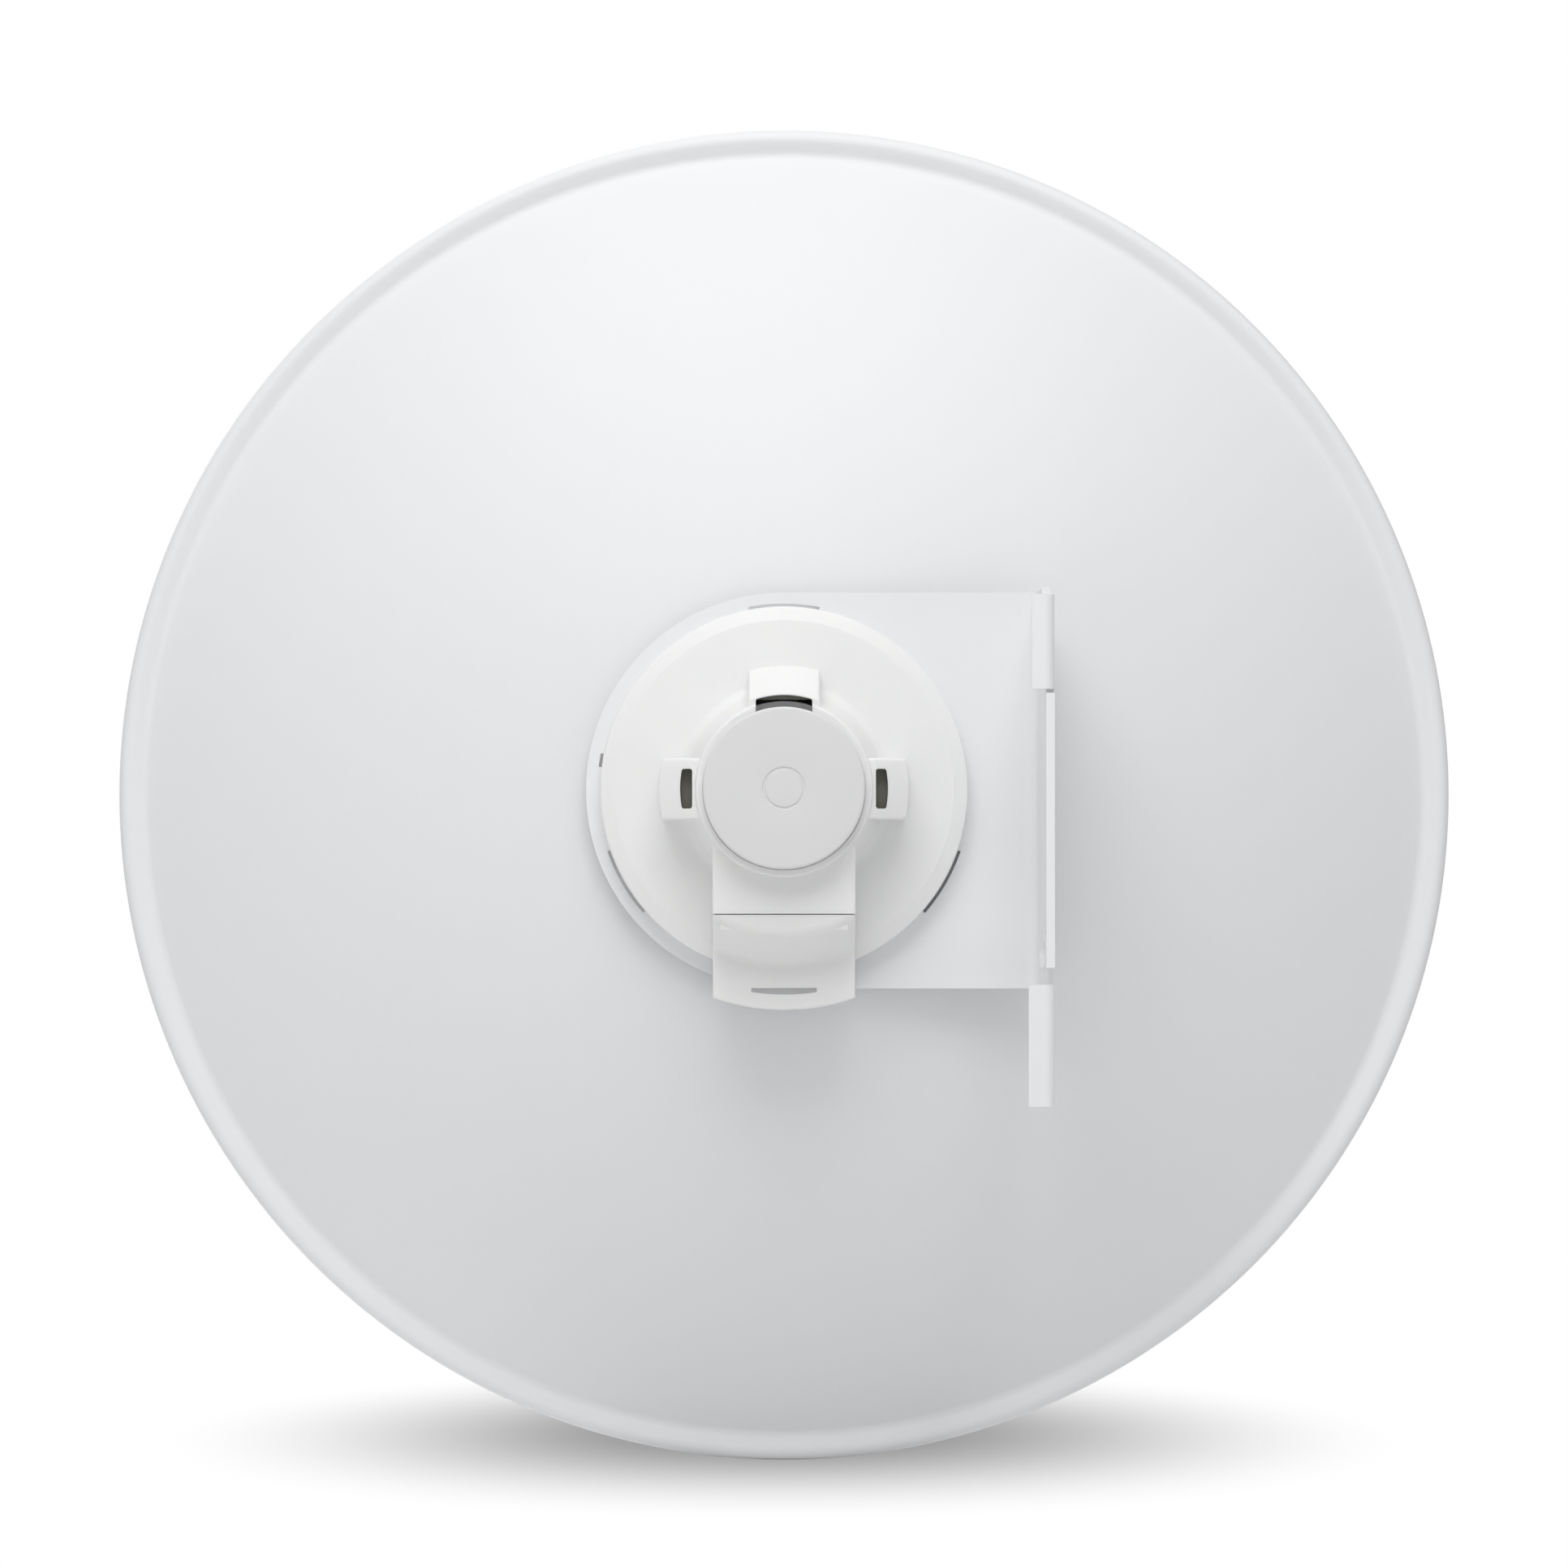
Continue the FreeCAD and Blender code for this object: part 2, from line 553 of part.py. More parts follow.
def bracket_lips(bracket):
    """The bracket with its free edge turned in at both ends, and a relief cut where each lip stops."""
    lip_outer = LIP_BEND_RADIUS + BRACKET_SHEET
    upper_end = LEG_TOP - UPPER_LIP_LENGTH
    lower_end = LEG_BOTTOM + LOWER_LIP_LENGTH
    for low, high, width in ((upper_end, LEG_TOP, UPPER_LIP_WIDTH), (LEG_BOTTOM, lower_end, LOWER_LIP_WIDTH)):
        lip_corners = [
            (-LEG_OFFSET, LEG_DEPTH - 2 * lip_outer),
            (-LEG_OFFSET, LEG_DEPTH, lip_outer),
            (-LEG_OFFSET + width, LEG_DEPTH),
            (-LEG_OFFSET + width, LEG_DEPTH - BRACKET_SHEET),
            (LEG_INSIDE, LEG_DEPTH - BRACKET_SHEET, LIP_BEND_RADIUS),
            (LEG_INSIDE, LEG_DEPTH - 2 * lip_outer),
        ]
        square_edge = block(-LEG_OFFSET, LEG_INSIDE, LEG_DEPTH - 2 * lip_outer, LEG_DEPTH, low, high + PAST)
        bracket = bracket.cut(square_edge).fuse(bent_strip(lip_corners, low, high))
    x_out = -LEG_OFFSET - PAST
    x_in = LEG_INSIDE + PAST
    for low in (upper_end - LIP_RELIEF_WIDTH, lower_end):
        high = low + LIP_RELIEF_WIDTH
        relief = block(x_out, x_in, LEG_DEPTH - LIP_RELIEF_DEPTH, LEG_DEPTH + PAST, low, high)
        bracket = bracket.cut(relief)
    return bracket


def mount_bracket():
    """Pressed steel bracket: a round-ended plate behind the dish and a leg bent back for the pole clamp."""
    hook_outer = HOUSING_RADIUS + HOOK_SLOT_GAP
    hook_inner = HOOK_INNER_RADIUS - LOOSE
    cuts = [tube(CENTRE_HOLE_RADIUS, -PAST, PAST), bolt_necks(LOOSE / 2)]
    for angle in HOOK_ANGLES:
        cuts.append(ring_sector(hook_inner, hook_outer, -PAST, PAST, angle, HOOK_SLOT_HALF_ANGLE))
    cuts.append(ring_sector(hook_inner, hook_outer, -PAST, PAST, LOCATOR_ANGLE, LOCATOR_SLOT_HALF_ANGLE))
    bolt_ends = tube(BOLT_RADIUS + LOOSE / 2, -PAST, PAST)
    for angle in BOLT_ANGLES:
        hole = bolt_ends.copy()
        hole.translate(at_angle(BOLT_CIRCLE_RADIUS, angle))
        cuts.append(hole)
    cuts += leg_holes()
    return bracket_lips(bracket_blank()).cut(cuts).removeSplitter()


def leg_holes():
    """The pivot hole and the curved elevation slot in the leg."""
    x_out = -LEG_OFFSET - PAST
    x_in = LEG_INSIDE + PAST
    pivot = rod(MOUNT_BOLT_HOLE_RADIUS, (x_out, PIVOT_DEPTH, PIVOT_HEIGHT), (x_in, PIVOT_DEPTH, PIVOT_HEIGHT))

    def on_slot(degrees, radius=ELEVATION_SLOT_RADIUS):
        angle = math.radians(degrees)
        return V(x_out, PIVOT_DEPTH + radius * math.sin(angle), PIVOT_HEIGHT - radius * math.cos(angle))

    width = MOUNT_BOLT_HOLE_RADIUS
    inner = ELEVATION_SLOT_RADIUS - width
    outer = ELEVATION_SLOT_RADIUS + width
    ends = (-ELEVATION_HALF_ANGLE, ELEVATION_HALF_ANGLE)
    past_end = math.degrees(width / ELEVATION_SLOT_RADIUS)
    edges = [
        Part.Arc(on_slot(ends[0], inner), on_slot(0, inner), on_slot(ends[1], inner)).toShape(),
        Part.Arc(on_slot(ends[1], inner), on_slot(ends[1] + past_end), on_slot(ends[1], outer)).toShape(),
        Part.Arc(on_slot(ends[1], outer), on_slot(0, outer), on_slot(ends[0], outer)).toShape(),
        Part.Arc(on_slot(ends[0], outer), on_slot(ends[0] - past_end), on_slot(ends[0], inner)).toShape(),
    ]
    slot = Part.Face(Part.Wire(edges)).extrude(V(x_in - x_out, 0, 0))
    return [pivot, slot]


def disc_corners(grow=0.0):
    """The housing's outer section without its hoods, from the bracket plate to the collar's top."""
    return [
        (0, PLATE_REAR - grow),
        (HOUSING_RADIUS + grow, PLATE_REAR - grow),
        (HOUSING_RADIUS + grow, DISC_EDGE + grow, DISC_EDGE_RADIUS),
        (HOUSING_RADIUS - DISC_BEVEL_WIDTH, DISC_RIM + grow),
        (COLLAR_FOOT_RADIUS, DISC_FACE + grow, COLLAR_FILLET),
        (COLLAR_RADIUS, COLLAR_TOP, COLLAR_EDGE_RADIUS),
        (0, COLLAR_TOP),
    ]


def latch_hood(width, reach):
    """A solid hood over one latch, pointing up, its outer end curved about the boresight."""
    body = spun(
        [
            (BORE_RADIUS, DISC_RIM - HOUSING_WALL / 2),
            (reach, DISC_RIM - HOUSING_WALL / 2),
            (reach, HOOD_TOP - HOOD_SLOPE_DROP, HOOD_WALL / 2),
            (COLLAR_RADIUS + HOOD_WALL, HOOD_TOP),
            (BORE_RADIUS, HOOD_TOP),
        ]
    )
    half = width / 2
    hood = body.common(block(-half, half, 0, COLLAR_TOP, BORE_RADIUS / 2, reach + PAST))
    outer_edges = [edge for edge in edges_across(hood, half) if edge.BoundBox.ZMax > COLLAR_RADIUS]
    return hood.makeFillet(HOOD_EDGE_RADIUS, [edge for edge in outer_edges if edge.BoundBox.YMax > DISC_FACE])


def latch_pocket(width, reach):
    """The hollow inside one latch hood, open to the inside of the housing."""
    inner_width = width - 2 * HOOD_WALL
    body = spun(
        [
            (COLLAR_RADIUS, DISC_FACE - HOUSING_WALL - HOOD_WALL),
            (reach - HOOD_WALL, DISC_FACE - HOUSING_WALL - HOOD_WALL),
            (reach - HOOD_WALL, HOOD_TOP - HOOD_SLOPE_DROP - HOOD_WALL),
            (COLLAR_RADIUS, HOOD_TOP - HOOD_WALL),
        ]
    )
    return body.common(block(-inner_width / 2, inner_width / 2, 0, COLLAR_TOP, BORE_RADIUS / 2, reach))


def window(width, start, reach, y_low):
    """An opening through a hood's roof with a straight inner edge and an arched outer edge."""
    disc = tube(reach, y_low, COLLAR_TOP + PAST)
    hole = disc.common(block(-width / 2, width / 2, y_low, COLLAR_TOP + PAST, start, reach + PAST))
    corners = [edge for edge in edges_across(hole, width / 2) if edge.BoundBox.YLength > PAST]
    return hole.makeFillet(WINDOW_CORNER_RADIUS, corners)


def latch_slot():
    """Where one latch's hook catches in the housing's inner wall."""
    half = LATCH_WIDTH / 2 + LOOSE
    low = LATCH_TIP - LATCH_HOOK_LENGTH - SEAM
    return block(-half, half, low, LATCH_TIP + SEAM, BORE_RADIUS - COLLAR_WALL, COLLAR_RADIUS + SEAM)


def cable_channel():
    """The solid hood of the cable channel, from the boresight down to the port cover."""
    half = CHANNEL_WIDTH / 2
    edge = CHANNEL_WALL / 2
    corners = [
        (-half, DISC_RIM - HOUSING_WALL / 2),
        (-half, CHANNEL_TOP, edge),
        (half, CHANNEL_TOP, edge),
        (half, DISC_RIM - HOUSING_WALL / 2),
    ]
    return bent_strip(corners, -CHANNEL_END, 0)


def channel_hollow():
    """What the cable channel leaves open: the run for the cable and the mouth into the feed tube's bay."""
    half = CHANNEL_WIDTH / 2 - CHANNEL_WALL
    run = block(-half, half, DISC_FACE, CHANNEL_TOP - CHANNEL_WALL, -CHANNEL_END - PAST, -COLLAR_RADIUS)
    mouth_low = DISC_FACE + CHANNEL_MOUTH_MARGIN
    mouth_high = CHANNEL_TOP - CHANNEL_WALL - CHANNEL_MOUTH_MARGIN
    mouth_half = CHANNEL_MOUTH_WIDTH / 2
    mouth = block(-mouth_half, mouth_half, mouth_low, mouth_high, -COLLAR_FOOT_RADIUS, -BORE_RADIUS / 2)
    return [run, mouth]


def cover_rails():
    """Two rails on the disc that hold the port cover down and let it slide off."""
    rails = []
    web_x = CHANNEL_WIDTH / 2 - CHANNEL_WALL - RAIL_INSET - RAIL_WEB
    head_y = DISC_FACE + RAIL_HEIGHT
    z_low = -CHANNEL_END - SEAM - COVER_RAIL_LENGTH
    for side in (-1, 1):
        low, high = sorted((side * web_x, side * (web_x + RAIL_WEB)))
        rails.append(block(low, high, DISC_RIM - HOUSING_WALL / 2, head_y, z_low, -CHANNEL_END))
        low, high = sorted((side * web_x, side * (web_x + RAIL_WEB + RAIL_OVERHANG)))
        rails.append(block(low, high, head_y - RAIL_HEAD, head_y, z_low, -CHANNEL_END))
    return rails


def snap_hooks():
    """Hooks on the housing's skirt that catch behind the bracket plate, and a locating tab."""
    hooks = []
    inner = HOOK_INNER_RADIUS
    skirt = PLATE_REAR + HOUSING_SKIRT
    barb_top = -SNUG * 2
    low = barb_top - HOOK_BARB_HEIGHT
    for angle in HOOK_ANGLES:
        hooks.append(ring_sector(inner, HOUSING_RADIUS, low, skirt, angle, HOOK_HALF_ANGLE))
        barb_outer = inner + HOOK_WALL / 2
        hooks.append(ring_sector(BARB_INNER_RADIUS, barb_outer, low, barb_top, angle, HOOK_HALF_ANGLE))
    hooks.append(ring_sector(inner, HOUSING_RADIUS, 0, skirt, LOCATOR_ANGLE, LOCATOR_HALF_ANGLE))
    return hooks


def rear_housing():
    """The moulded housing behind the reflector: disc, collar, latch hoods, cable channel and snap hooks."""
    solid = spun(disc_corners())
    top = latch_hood(TOP_HOOD_WIDTH, TOP_HOOD_REACH)
    side = latch_hood(SIDE_HOOD_WIDTH, SIDE_HOOD_REACH)
    hoods = [top, turned(side, LATCH_TURNS["left"]), turned(side, LATCH_TURNS["right"])]
    solid = solid.fuse(hoods + [cable_channel()])

    wall = HOUSING_WALL
    inside = spun(
        [
            (COLLAR_RADIUS, PLATE_REAR - PAST),
            (HOUSING_RADIUS - wall, PLATE_REAR - PAST),
            (HOUSING_RADIUS - wall, DISC_EDGE - wall),
            (HOUSING_INSIDE_RADIUS, DISC_RIM - wall),
            (COLLAR_FOOT_RADIUS - wall / 2, DISC_FACE - wall),
            (COLLAR_RADIUS, DISC_FACE + COLLAR_FLARE),
        ]
    )
    nose = tube(COLLAR_RADIUS, NOSE_FRONT, DISC_FACE)
    shell = solid.cut(inside).fuse(nose).cut(tube(BORE_RADIUS, NOSE_FRONT - PAST, COLLAR_TOP + PAST))

    pocket_top = latch_pocket(TOP_HOOD_WIDTH, TOP_HOOD_REACH)
    pocket_side = latch_pocket(SIDE_HOOD_WIDTH, SIDE_HOOD_REACH)
    window_y = LATCH_TIP + SEAM + HOOD_WALL
    window_top = window(TOP_WINDOW_WIDTH, BORE_RADIUS - COLLAR_WALL, TOP_WINDOW_REACH, window_y)
    window_side = window(SIDE_WINDOW_WIDTH, SIDE_WINDOW_START, SIDE_WINDOW_REACH, window_y)
    cuts = [pocket_top, window_top, latch_slot()] + channel_hollow()
    for name in ("left", "right"):
        cuts += [turned(shape, LATCH_TURNS[name]) for shape in (pocket_side, window_side, latch_slot())]
    return shell.cut(cuts).fuse(snap_hooks() + cover_rails()).removeSplitter()


def cover_section(inset):
    """The port cover's section about the boresight, drawn in by a wall for its hollow."""
    low = PLATE_REAR + COVER_LOW_HEIGHT - inset
    foot = PLATE_REAR + SEAM - (PAST if inset else 0)
    high = CHANNEL_TOP - inset
    start = COLLAR_RADIUS
    return [
        (start, foot),
        (COVER_REACH - inset, foot),
        (COVER_REACH - inset, low, COVER_EDGE_RADIUS),
        (COVER_LOW_START - inset / 2, low, COVER_BEND_RADIUS),
        (COVER_HIGH_REACH - inset / 2, high, COVER_BEND_RADIUS),
        (start, high),
    ]


def port_cover():
    """The cover over the LAN port, which slides down off the housing."""
    half = CHANNEL_WIDTH / 2
    top = -CHANNEL_END - SEAM
    wall = CHANNEL_WALL
    inner = half - wall
    shell = spun(cover_section(0.0)).common(block(-half, half, 0, COLLAR_TOP, -COVER_REACH - PAST, top))
    rear_side = PLATE_REAR + COVER_LOW_HEIGHT - SNUG
    rear_edges = [edge for edge in edges_across(shell, half) if edge.BoundBox.YMin > rear_side]
    side_edges = [edge for edge in rear_edges if edge.BoundBox.ZMin < top - SNUG]
    shell = shell.makeFillet(COVER_SIDE_RADIUS, side_edges)
    hollow = spun(cover_section(wall)).common(
        block(-inner, inner, -WHOLE, COLLAR_TOP, -COVER_REACH - PAST, top + PAST)
    )
    shell = shell.cut([hollow, spun(disc_corners(SEAM))])

    roof = CHANNEL_TOP - wall
    tongue_low = roof - SEAM - COVER_TONGUE_THICKNESS
    tongue_half = inner - SEAM
    root_end = top - COVER_TONGUE_ROOT
    tongue = block(-tongue_half, tongue_half, tongue_low, roof - SEAM, root_end, top + COVER_TONGUE_LENGTH)
    root = block(-tongue_half, tongue_half, tongue_low, roof + wall / 4, root_end, top)
    feet = []
    web_outside = inner - RAIL_INSET
    foot_high = DISC_FACE + RAIL_HEIGHT - RAIL_HEAD - LOOSE
    for side in (-1, 1):
        low, high = sorted((side * (web_outside + LOOSE), side * (inner + wall / 4)))
        feet.append(block(low, high, DISC_FACE + LOOSE, foot_high, top - COVER_RAIL_LENGTH, top))
    cover = shell.fuse([tongue, root] + feet)

    slot = tube(FINGER_SLOT_REACH, 0, CHANNEL_TOP)
    slot_half = FINGER_SLOT_WIDTH / 2
    slot_start = FINGER_SLOT_REACH - FINGER_SLOT_HEIGHT
    slot = slot.common(block(-slot_half, slot_half, 0, CHANNEL_TOP, -COVER_REACH, -slot_start))
    slot_floor = PLATE_REAR + COVER_LOW_HEIGHT - 2 * wall
    slot = slot.common(block(-half, half, slot_floor, CHANNEL_TOP, -COVER_REACH, 0))
    notch_half = CABLE_NOTCH_WIDTH / 2
    notch_top = PLATE_REAR + SEAM + CABLE_NOTCH_HEIGHT
    notch = block(-notch_half, notch_half, 0, notch_top, -COVER_REACH - PAST, -COVER_REACH + 2 * wall)
    return cover.cut([slot, notch]).removeSplitter()


def latch(room=0.0):
    """One spring tongue of the feed, pointing up, with its hook; room makes it the opening it moves in."""
    outside = TUBE_RADIUS - LATCH_SINK
    inside = outside - LATCH_THICKNESS
    half = LATCH_WIDTH / 2 + room
    knuckle_place = (LATCH_ROOT, outside - LATCH_THICKNESS / 2)
    if room:
        low = TUBE_INNER_RADIUS - PAST
        opening = block(-half, half, LATCH_ROOT, LATCH_TIP + room, low, TUBE_RADIUS + PAST)
        return opening.fuse(rod(LATCH_KNUCKLE_RADIUS + SNUG, (-half, *knuckle_place), (half, *knuckle_place)))
    tongue = block(-half, half, LATCH_ROOT, LATCH_TIP, inside, outside)
    knuckle = rod(LATCH_KNUCKLE_RADIUS, (-half, *knuckle_place), (half, *knuckle_place))
    hook_top = TUBE_RADIUS + LATCH_HOOK_PROUD
    hook = plate_yz(
        [
            (LATCH_TIP - LATCH_HOOK_LENGTH, outside - LATCH_THICKNESS / 2),
            (LATCH_TIP - LATCH_HOOK_LENGTH, hook_top),
            (LATCH_TIP - LATCH_HOOK_LENGTH / 2, hook_top),
            (LATCH_TIP, outside),
            (LATCH_TIP, outside - LATCH_THICKNESS / 2),
        ],
        -half,
        half,
    )
    return tongue.fuse([knuckle, hook]).removeSplitter()


def tube_inner_radius(y):
    """The feed tube's inner radius at a place along the boresight."""
    share = min(1.0, max(0.0, (TUBE_TAPER_START - y) / (TUBE_TAPER_START - TUBE_FRONT)))
    return TUBE_INNER_RADIUS + (TUBE_FRONT_RADIUS - TUBE_RADIUS) * share


def feed_tube():
    """The feed's body: a tapered plastic tube with a shoulder that seats against the housing's nose."""
    shoulder_rear = NOSE_FRONT - SEAM
    shoulder_radius = BORE_RADIUS + SHOULDER_RADIAL
    body = spun(
        [
            (0, TUBE_REAR),
            (TUBE_RADIUS, TUBE_REAR),
            (TUBE_RADIUS, shoulder_rear),
            (shoulder_radius, shoulder_rear),
            (shoulder_radius, shoulder_rear - SHOULDER_THICKNESS, SHOULDER_THICKNESS / 2),
            (TUBE_RADIUS, shoulder_rear - SHOULDER_THICKNESS, SHOULDER_THICKNESS / 2),
            (TUBE_RADIUS, TUBE_TAPER_START),
            (TUBE_FRONT_RADIUS, TUBE_FRONT),
            (0, TUBE_FRONT),
        ]
    )
    hollow = spun(
        [
            (0, TUBE_REAR + PAST),
            (TUBE_INNER_RADIUS, TUBE_REAR + PAST),
            (TUBE_INNER_RADIUS, TUBE_TAPER_START),
            (tube_inner_radius(TUBE_FRONT), TUBE_FRONT),
            (tube_inner_radius(TUBE_FRONT), TUBE_FRONT - PAST),
            (0, TUBE_FRONT - PAST),
        ]
    )
    cuts = [hollow]
    cuts += [turned(latch(LOOSE), angle) for angle in LATCH_TURNS.values()]
    low = -TUBE_RADIUS - PAST
    jack = jack_box()
    jack.enlarge(LOOSE)
    cuts.append(block(jack.XMin, jack.XMax, jack.YMin, jack.YMax, low, jack.ZMin + PAST))
    cuts.append(rod(BUTTON_RADIUS + SEAM, (INDICATOR_X, BUTTON_Y, low), (INDICATOR_X, BUTTON_Y, -PAST)))
    for y in light_places():
        cuts.append(rod(LIGHT_RADIUS + SNUG, (INDICATOR_X, y, low), (INDICATOR_X, y, -PAST)))
    return body.cut(cuts)


def tail_cap():
    """The round cap that closes the feed tube's rear end, with a plain ring emblem."""
    cap_inner = TUBE_INNER_RADIUS - SNUG
    spigot_front = TUBE_REAR - CAP_SPIGOT_LENGTH
    spigot_inner = cap_inner - CAP_SPIGOT_WALL
    shell = spun(
        [
            (0, CAP_REAR),
            (TUBE_RADIUS, CAP_REAR, CAP_EDGE_RADIUS),
            (TUBE_RADIUS, TUBE_REAR),
            (cap_inner, TUBE_REAR),
            (cap_inner, spigot_front),
            (spigot_inner, spigot_front),
            (spigot_inner, CAP_REAR - CAP_FACE),
            (0, CAP_REAR - CAP_FACE),
        ]
    )
    seal_y = TUBE_REAR - CAP_SPIGOT_LENGTH / 2
    groove = tube(TUBE_RADIUS, seal_y - SEAL_SECTION, seal_y + SEAL_SECTION)
    groove = groove.cut(tube(cap_inner - SEAL_SECTION, seal_y - PAST, seal_y + PAST))
    emblem = tube(EMBLEM_RADIUS, CAP_REAR - EMBLEM_DEPTH, CAP_REAR + PAST)
    emblem = emblem.cut(tube(EMBLEM_RADIUS - EMBLEM_LINE, CAP_REAR - PAST, CAP_REAR + 2 * PAST))
    rib_low = -BOARD_OFFSET - CAP_RIB_WALL - SNUG
    rib_high = BOARD_SIDE + CAP_RIB_WALL + SNUG
    half = CAP_RIB_HALF_HEIGHT
    rib = block(rib_low, rib_high, spigot_front, CAP_REAR - CAP_FACE / 2, -half, half)
    half += PAST
    board_slot = block(-BOARD_OFFSET - SNUG, BOARD_SIDE + SNUG, -WHOLE, BOARD_REAR + SNUG, -half, half)
    return shell.cut([groove, emblem]).fuse(rib.cut(board_slot))


def tail_seal():
    """The O-ring in the tail cap's groove."""
    seal_y = TUBE_REAR - CAP_SPIGOT_LENGTH / 2
    half = SEAL_SECTION - SNUG
    outer = TUBE_INNER_RADIUS
    inner = outer - SNUG - SEAL_SECTION
    return tube(outer, seal_y - half, seal_y + half).cut(tube(inner, seal_y - PAST, seal_y + PAST))


def feed_tip():
    """The cap over the feed's front end, which holds the sub-reflector."""
    socket = TUBE_FRONT_RADIUS + LOOSE
    socket_rear = TUBE_FRONT + TIP_OVERLAP
    flare_end = socket_rear - TIP_FLARE_LENGTH
    shell = spun(
        [
            (socket, socket_rear),
            (socket + TIP_WALL, socket_rear, TIP_WALL / 3),
            (TIP_RADIUS, flare_end, TIP_EDGE_RADIUS),
            (TIP_RADIUS, TIP_FRONT + TIP_DOME, TIP_EDGE_RADIUS),
            (0, TIP_FRONT),
            (0, TIP_FRONT + TIP_WALL),
            (TIP_RADIUS - TIP_WALL, TIP_FRONT + TIP_DOME + TIP_WALL, TIP_EDGE_RADIUS - TIP_WALL),
            (TIP_RADIUS - TIP_WALL, flare_end - TIP_WALL / 2, TIP_EDGE_RADIUS - TIP_WALL),
            (socket, TUBE_FRONT),
        ]
    )
    inner = TIP_RADIUS - TIP_WALL
    plate_rear = TIP_FRONT + TIP_WALL + TIP_DOME + SUB_REFLECTOR_GAP
    ledge = tube(inner + TIP_WALL / 2, plate_rear - SUB_REFLECTOR_LEDGE, plate_rear)
    ledge = ledge.cut(tube(inner - SUB_REFLECTOR_LEDGE, -WHOLE, 0))
    return shell.fuse(ledge)


def sub_reflector():
    """The metal splash plate inside the feed tip."""
    seat_y = TIP_FRONT + TIP_WALL + TIP_DOME + SUB_REFLECTOR_GAP
    radius = TIP_RADIUS - TIP_WALL - SEAM
    return tube(radius, seat_y, seat_y + SUB_REFLECTOR_SHEET)


def tip_seal():
    """The O-ring between the feed tip's socket and the tube."""
    y = TUBE_FRONT + TIP_OVERLAP / 2
    outer = TUBE_FRONT_RADIUS + LOOSE
    share = (TUBE_TAPER_START - y - SEAL_SECTION) / (TUBE_TAPER_START - TUBE_FRONT)
    inner = TUBE_RADIUS + (TUBE_FRONT_RADIUS - TUBE_RADIUS) * share + SNUG / 5
    return tube(outer, y - SEAL_SECTION, y + SEAL_SECTION).cut(tube(inner, y - PAST, y + PAST))


def feed_antenna():
    """Two crossed dipole boards on a round base, ahead of the radio board."""
    rear = BOARD_FRONT - SEAM
    front = rear - ANTENNA_LENGTH
    half = ANTENNA_BOARD / 2
    base = tube(ANTENNA_BASE_RADIUS, rear - ANTENNA_BOARD, rear)
    upright = block(-half, half, front, rear - half, -ANTENNA_HALF_WIDTH, ANTENNA_HALF_WIDTH)
    flat = block(-ANTENNA_HALF_WIDTH, ANTENNA_HALF_WIDTH, front, rear - half, -half, half)
    return base.fuse([upright, flat]).removeSplitter()


def screw_places():
    """(y, z) of the screws that hold the radio board on its tray."""
    rows = (TRAY_REAR - SCREW_INSET, TRAY_FRONT + SCREW_INSET)
    return [(y, z) for y in rows for z in (-STANDOFF_HEIGHT_Z, STANDOFF_HEIGHT_Z)]


def radio_board():
    """The radio's circuit board, wider at its tail where the jack, switch and lights are."""
    board = plate_yz(
        [
            (BOARD_FRONT, -BOARD_HALF_HEIGHT),
            (BOARD_TAIL_START, -BOARD_HALF_HEIGHT),
            (BOARD_TAIL_START, -BOARD_TAIL_HALF_HEIGHT),
            (BOARD_REAR, -BOARD_TAIL_HALF_HEIGHT),
            (BOARD_REAR, BOARD_TAIL_HALF_HEIGHT),
            (BOARD_TAIL_START, BOARD_TAIL_HALF_HEIGHT),
            (BOARD_TAIL_START, BOARD_HALF_HEIGHT),
            (BOARD_FRONT, BOARD_HALF_HEIGHT),
        ],
        -BOARD_OFFSET,
        BOARD_SIDE,
    )
    holes = [rod(SCREW_RADIUS + SEAM, (-WHOLE, y, z), (WHOLE, y, z)) for y, z in screw_places()]
    return board.cut(holes)


def board_tray():
    """The tray that carries the radio board in the feed tube, with four standoffs and two end ribs."""
    face = -BOARD_OFFSET - PAD_THICKNESS - SPREADER_THICKNESS
    low = face - TRAY_THICKNESS
    tray = block(low, face, TRAY_FRONT, TRAY_REAR, -TRAY_HALF_HEIGHT, TRAY_HALF_HEIGHT)
    pieces = []
    for y in (TRAY_FRONT, TRAY_REAR - TRAY_RIB):
        radius = tube_inner_radius(y) - LOOSE
        rib = tube(radius, y, y + TRAY_RIB)
        pieces.append(rib.common(block(-radius, -BOARD_OFFSET - SEAM, y, y + TRAY_RIB, -radius, radius)))
    pieces += [rod(STANDOFF_RADIUS, (low, y, z), (-BOARD_OFFSET, y, z)) for y, z in screw_places()]
    pilots = [rod(SCREW_RADIUS + SNUG, (low - PAST, y, z), (0, y, z)) for y, z in screw_places()]
    return tray.fuse(pieces).cut(pilots)


def board_screws():
    """Four screws through the radio board into the tray's standoffs."""
    screws = []
    for y, z in screw_places():
        head = rod(SCREW_HEAD_RADIUS, (BOARD_SIDE, y, z), (BOARD_SIDE + SCREW_HEAD_HEIGHT, y, z))
        recess = rod(SCREW_RADIUS / 2, (BOARD_SIDE + SCREW_HEAD_HEIGHT / 2, y, z), (BOARD_SIDE + PAST, y, z))
        shank = rod(SCREW_RADIUS, (BOARD_SIDE - SCREW_LENGTH, y, z), (BOARD_SIDE, y, z))
        screws.append(head.cut(recess).fuse(shank))
    return Part.makeCompound(screws)


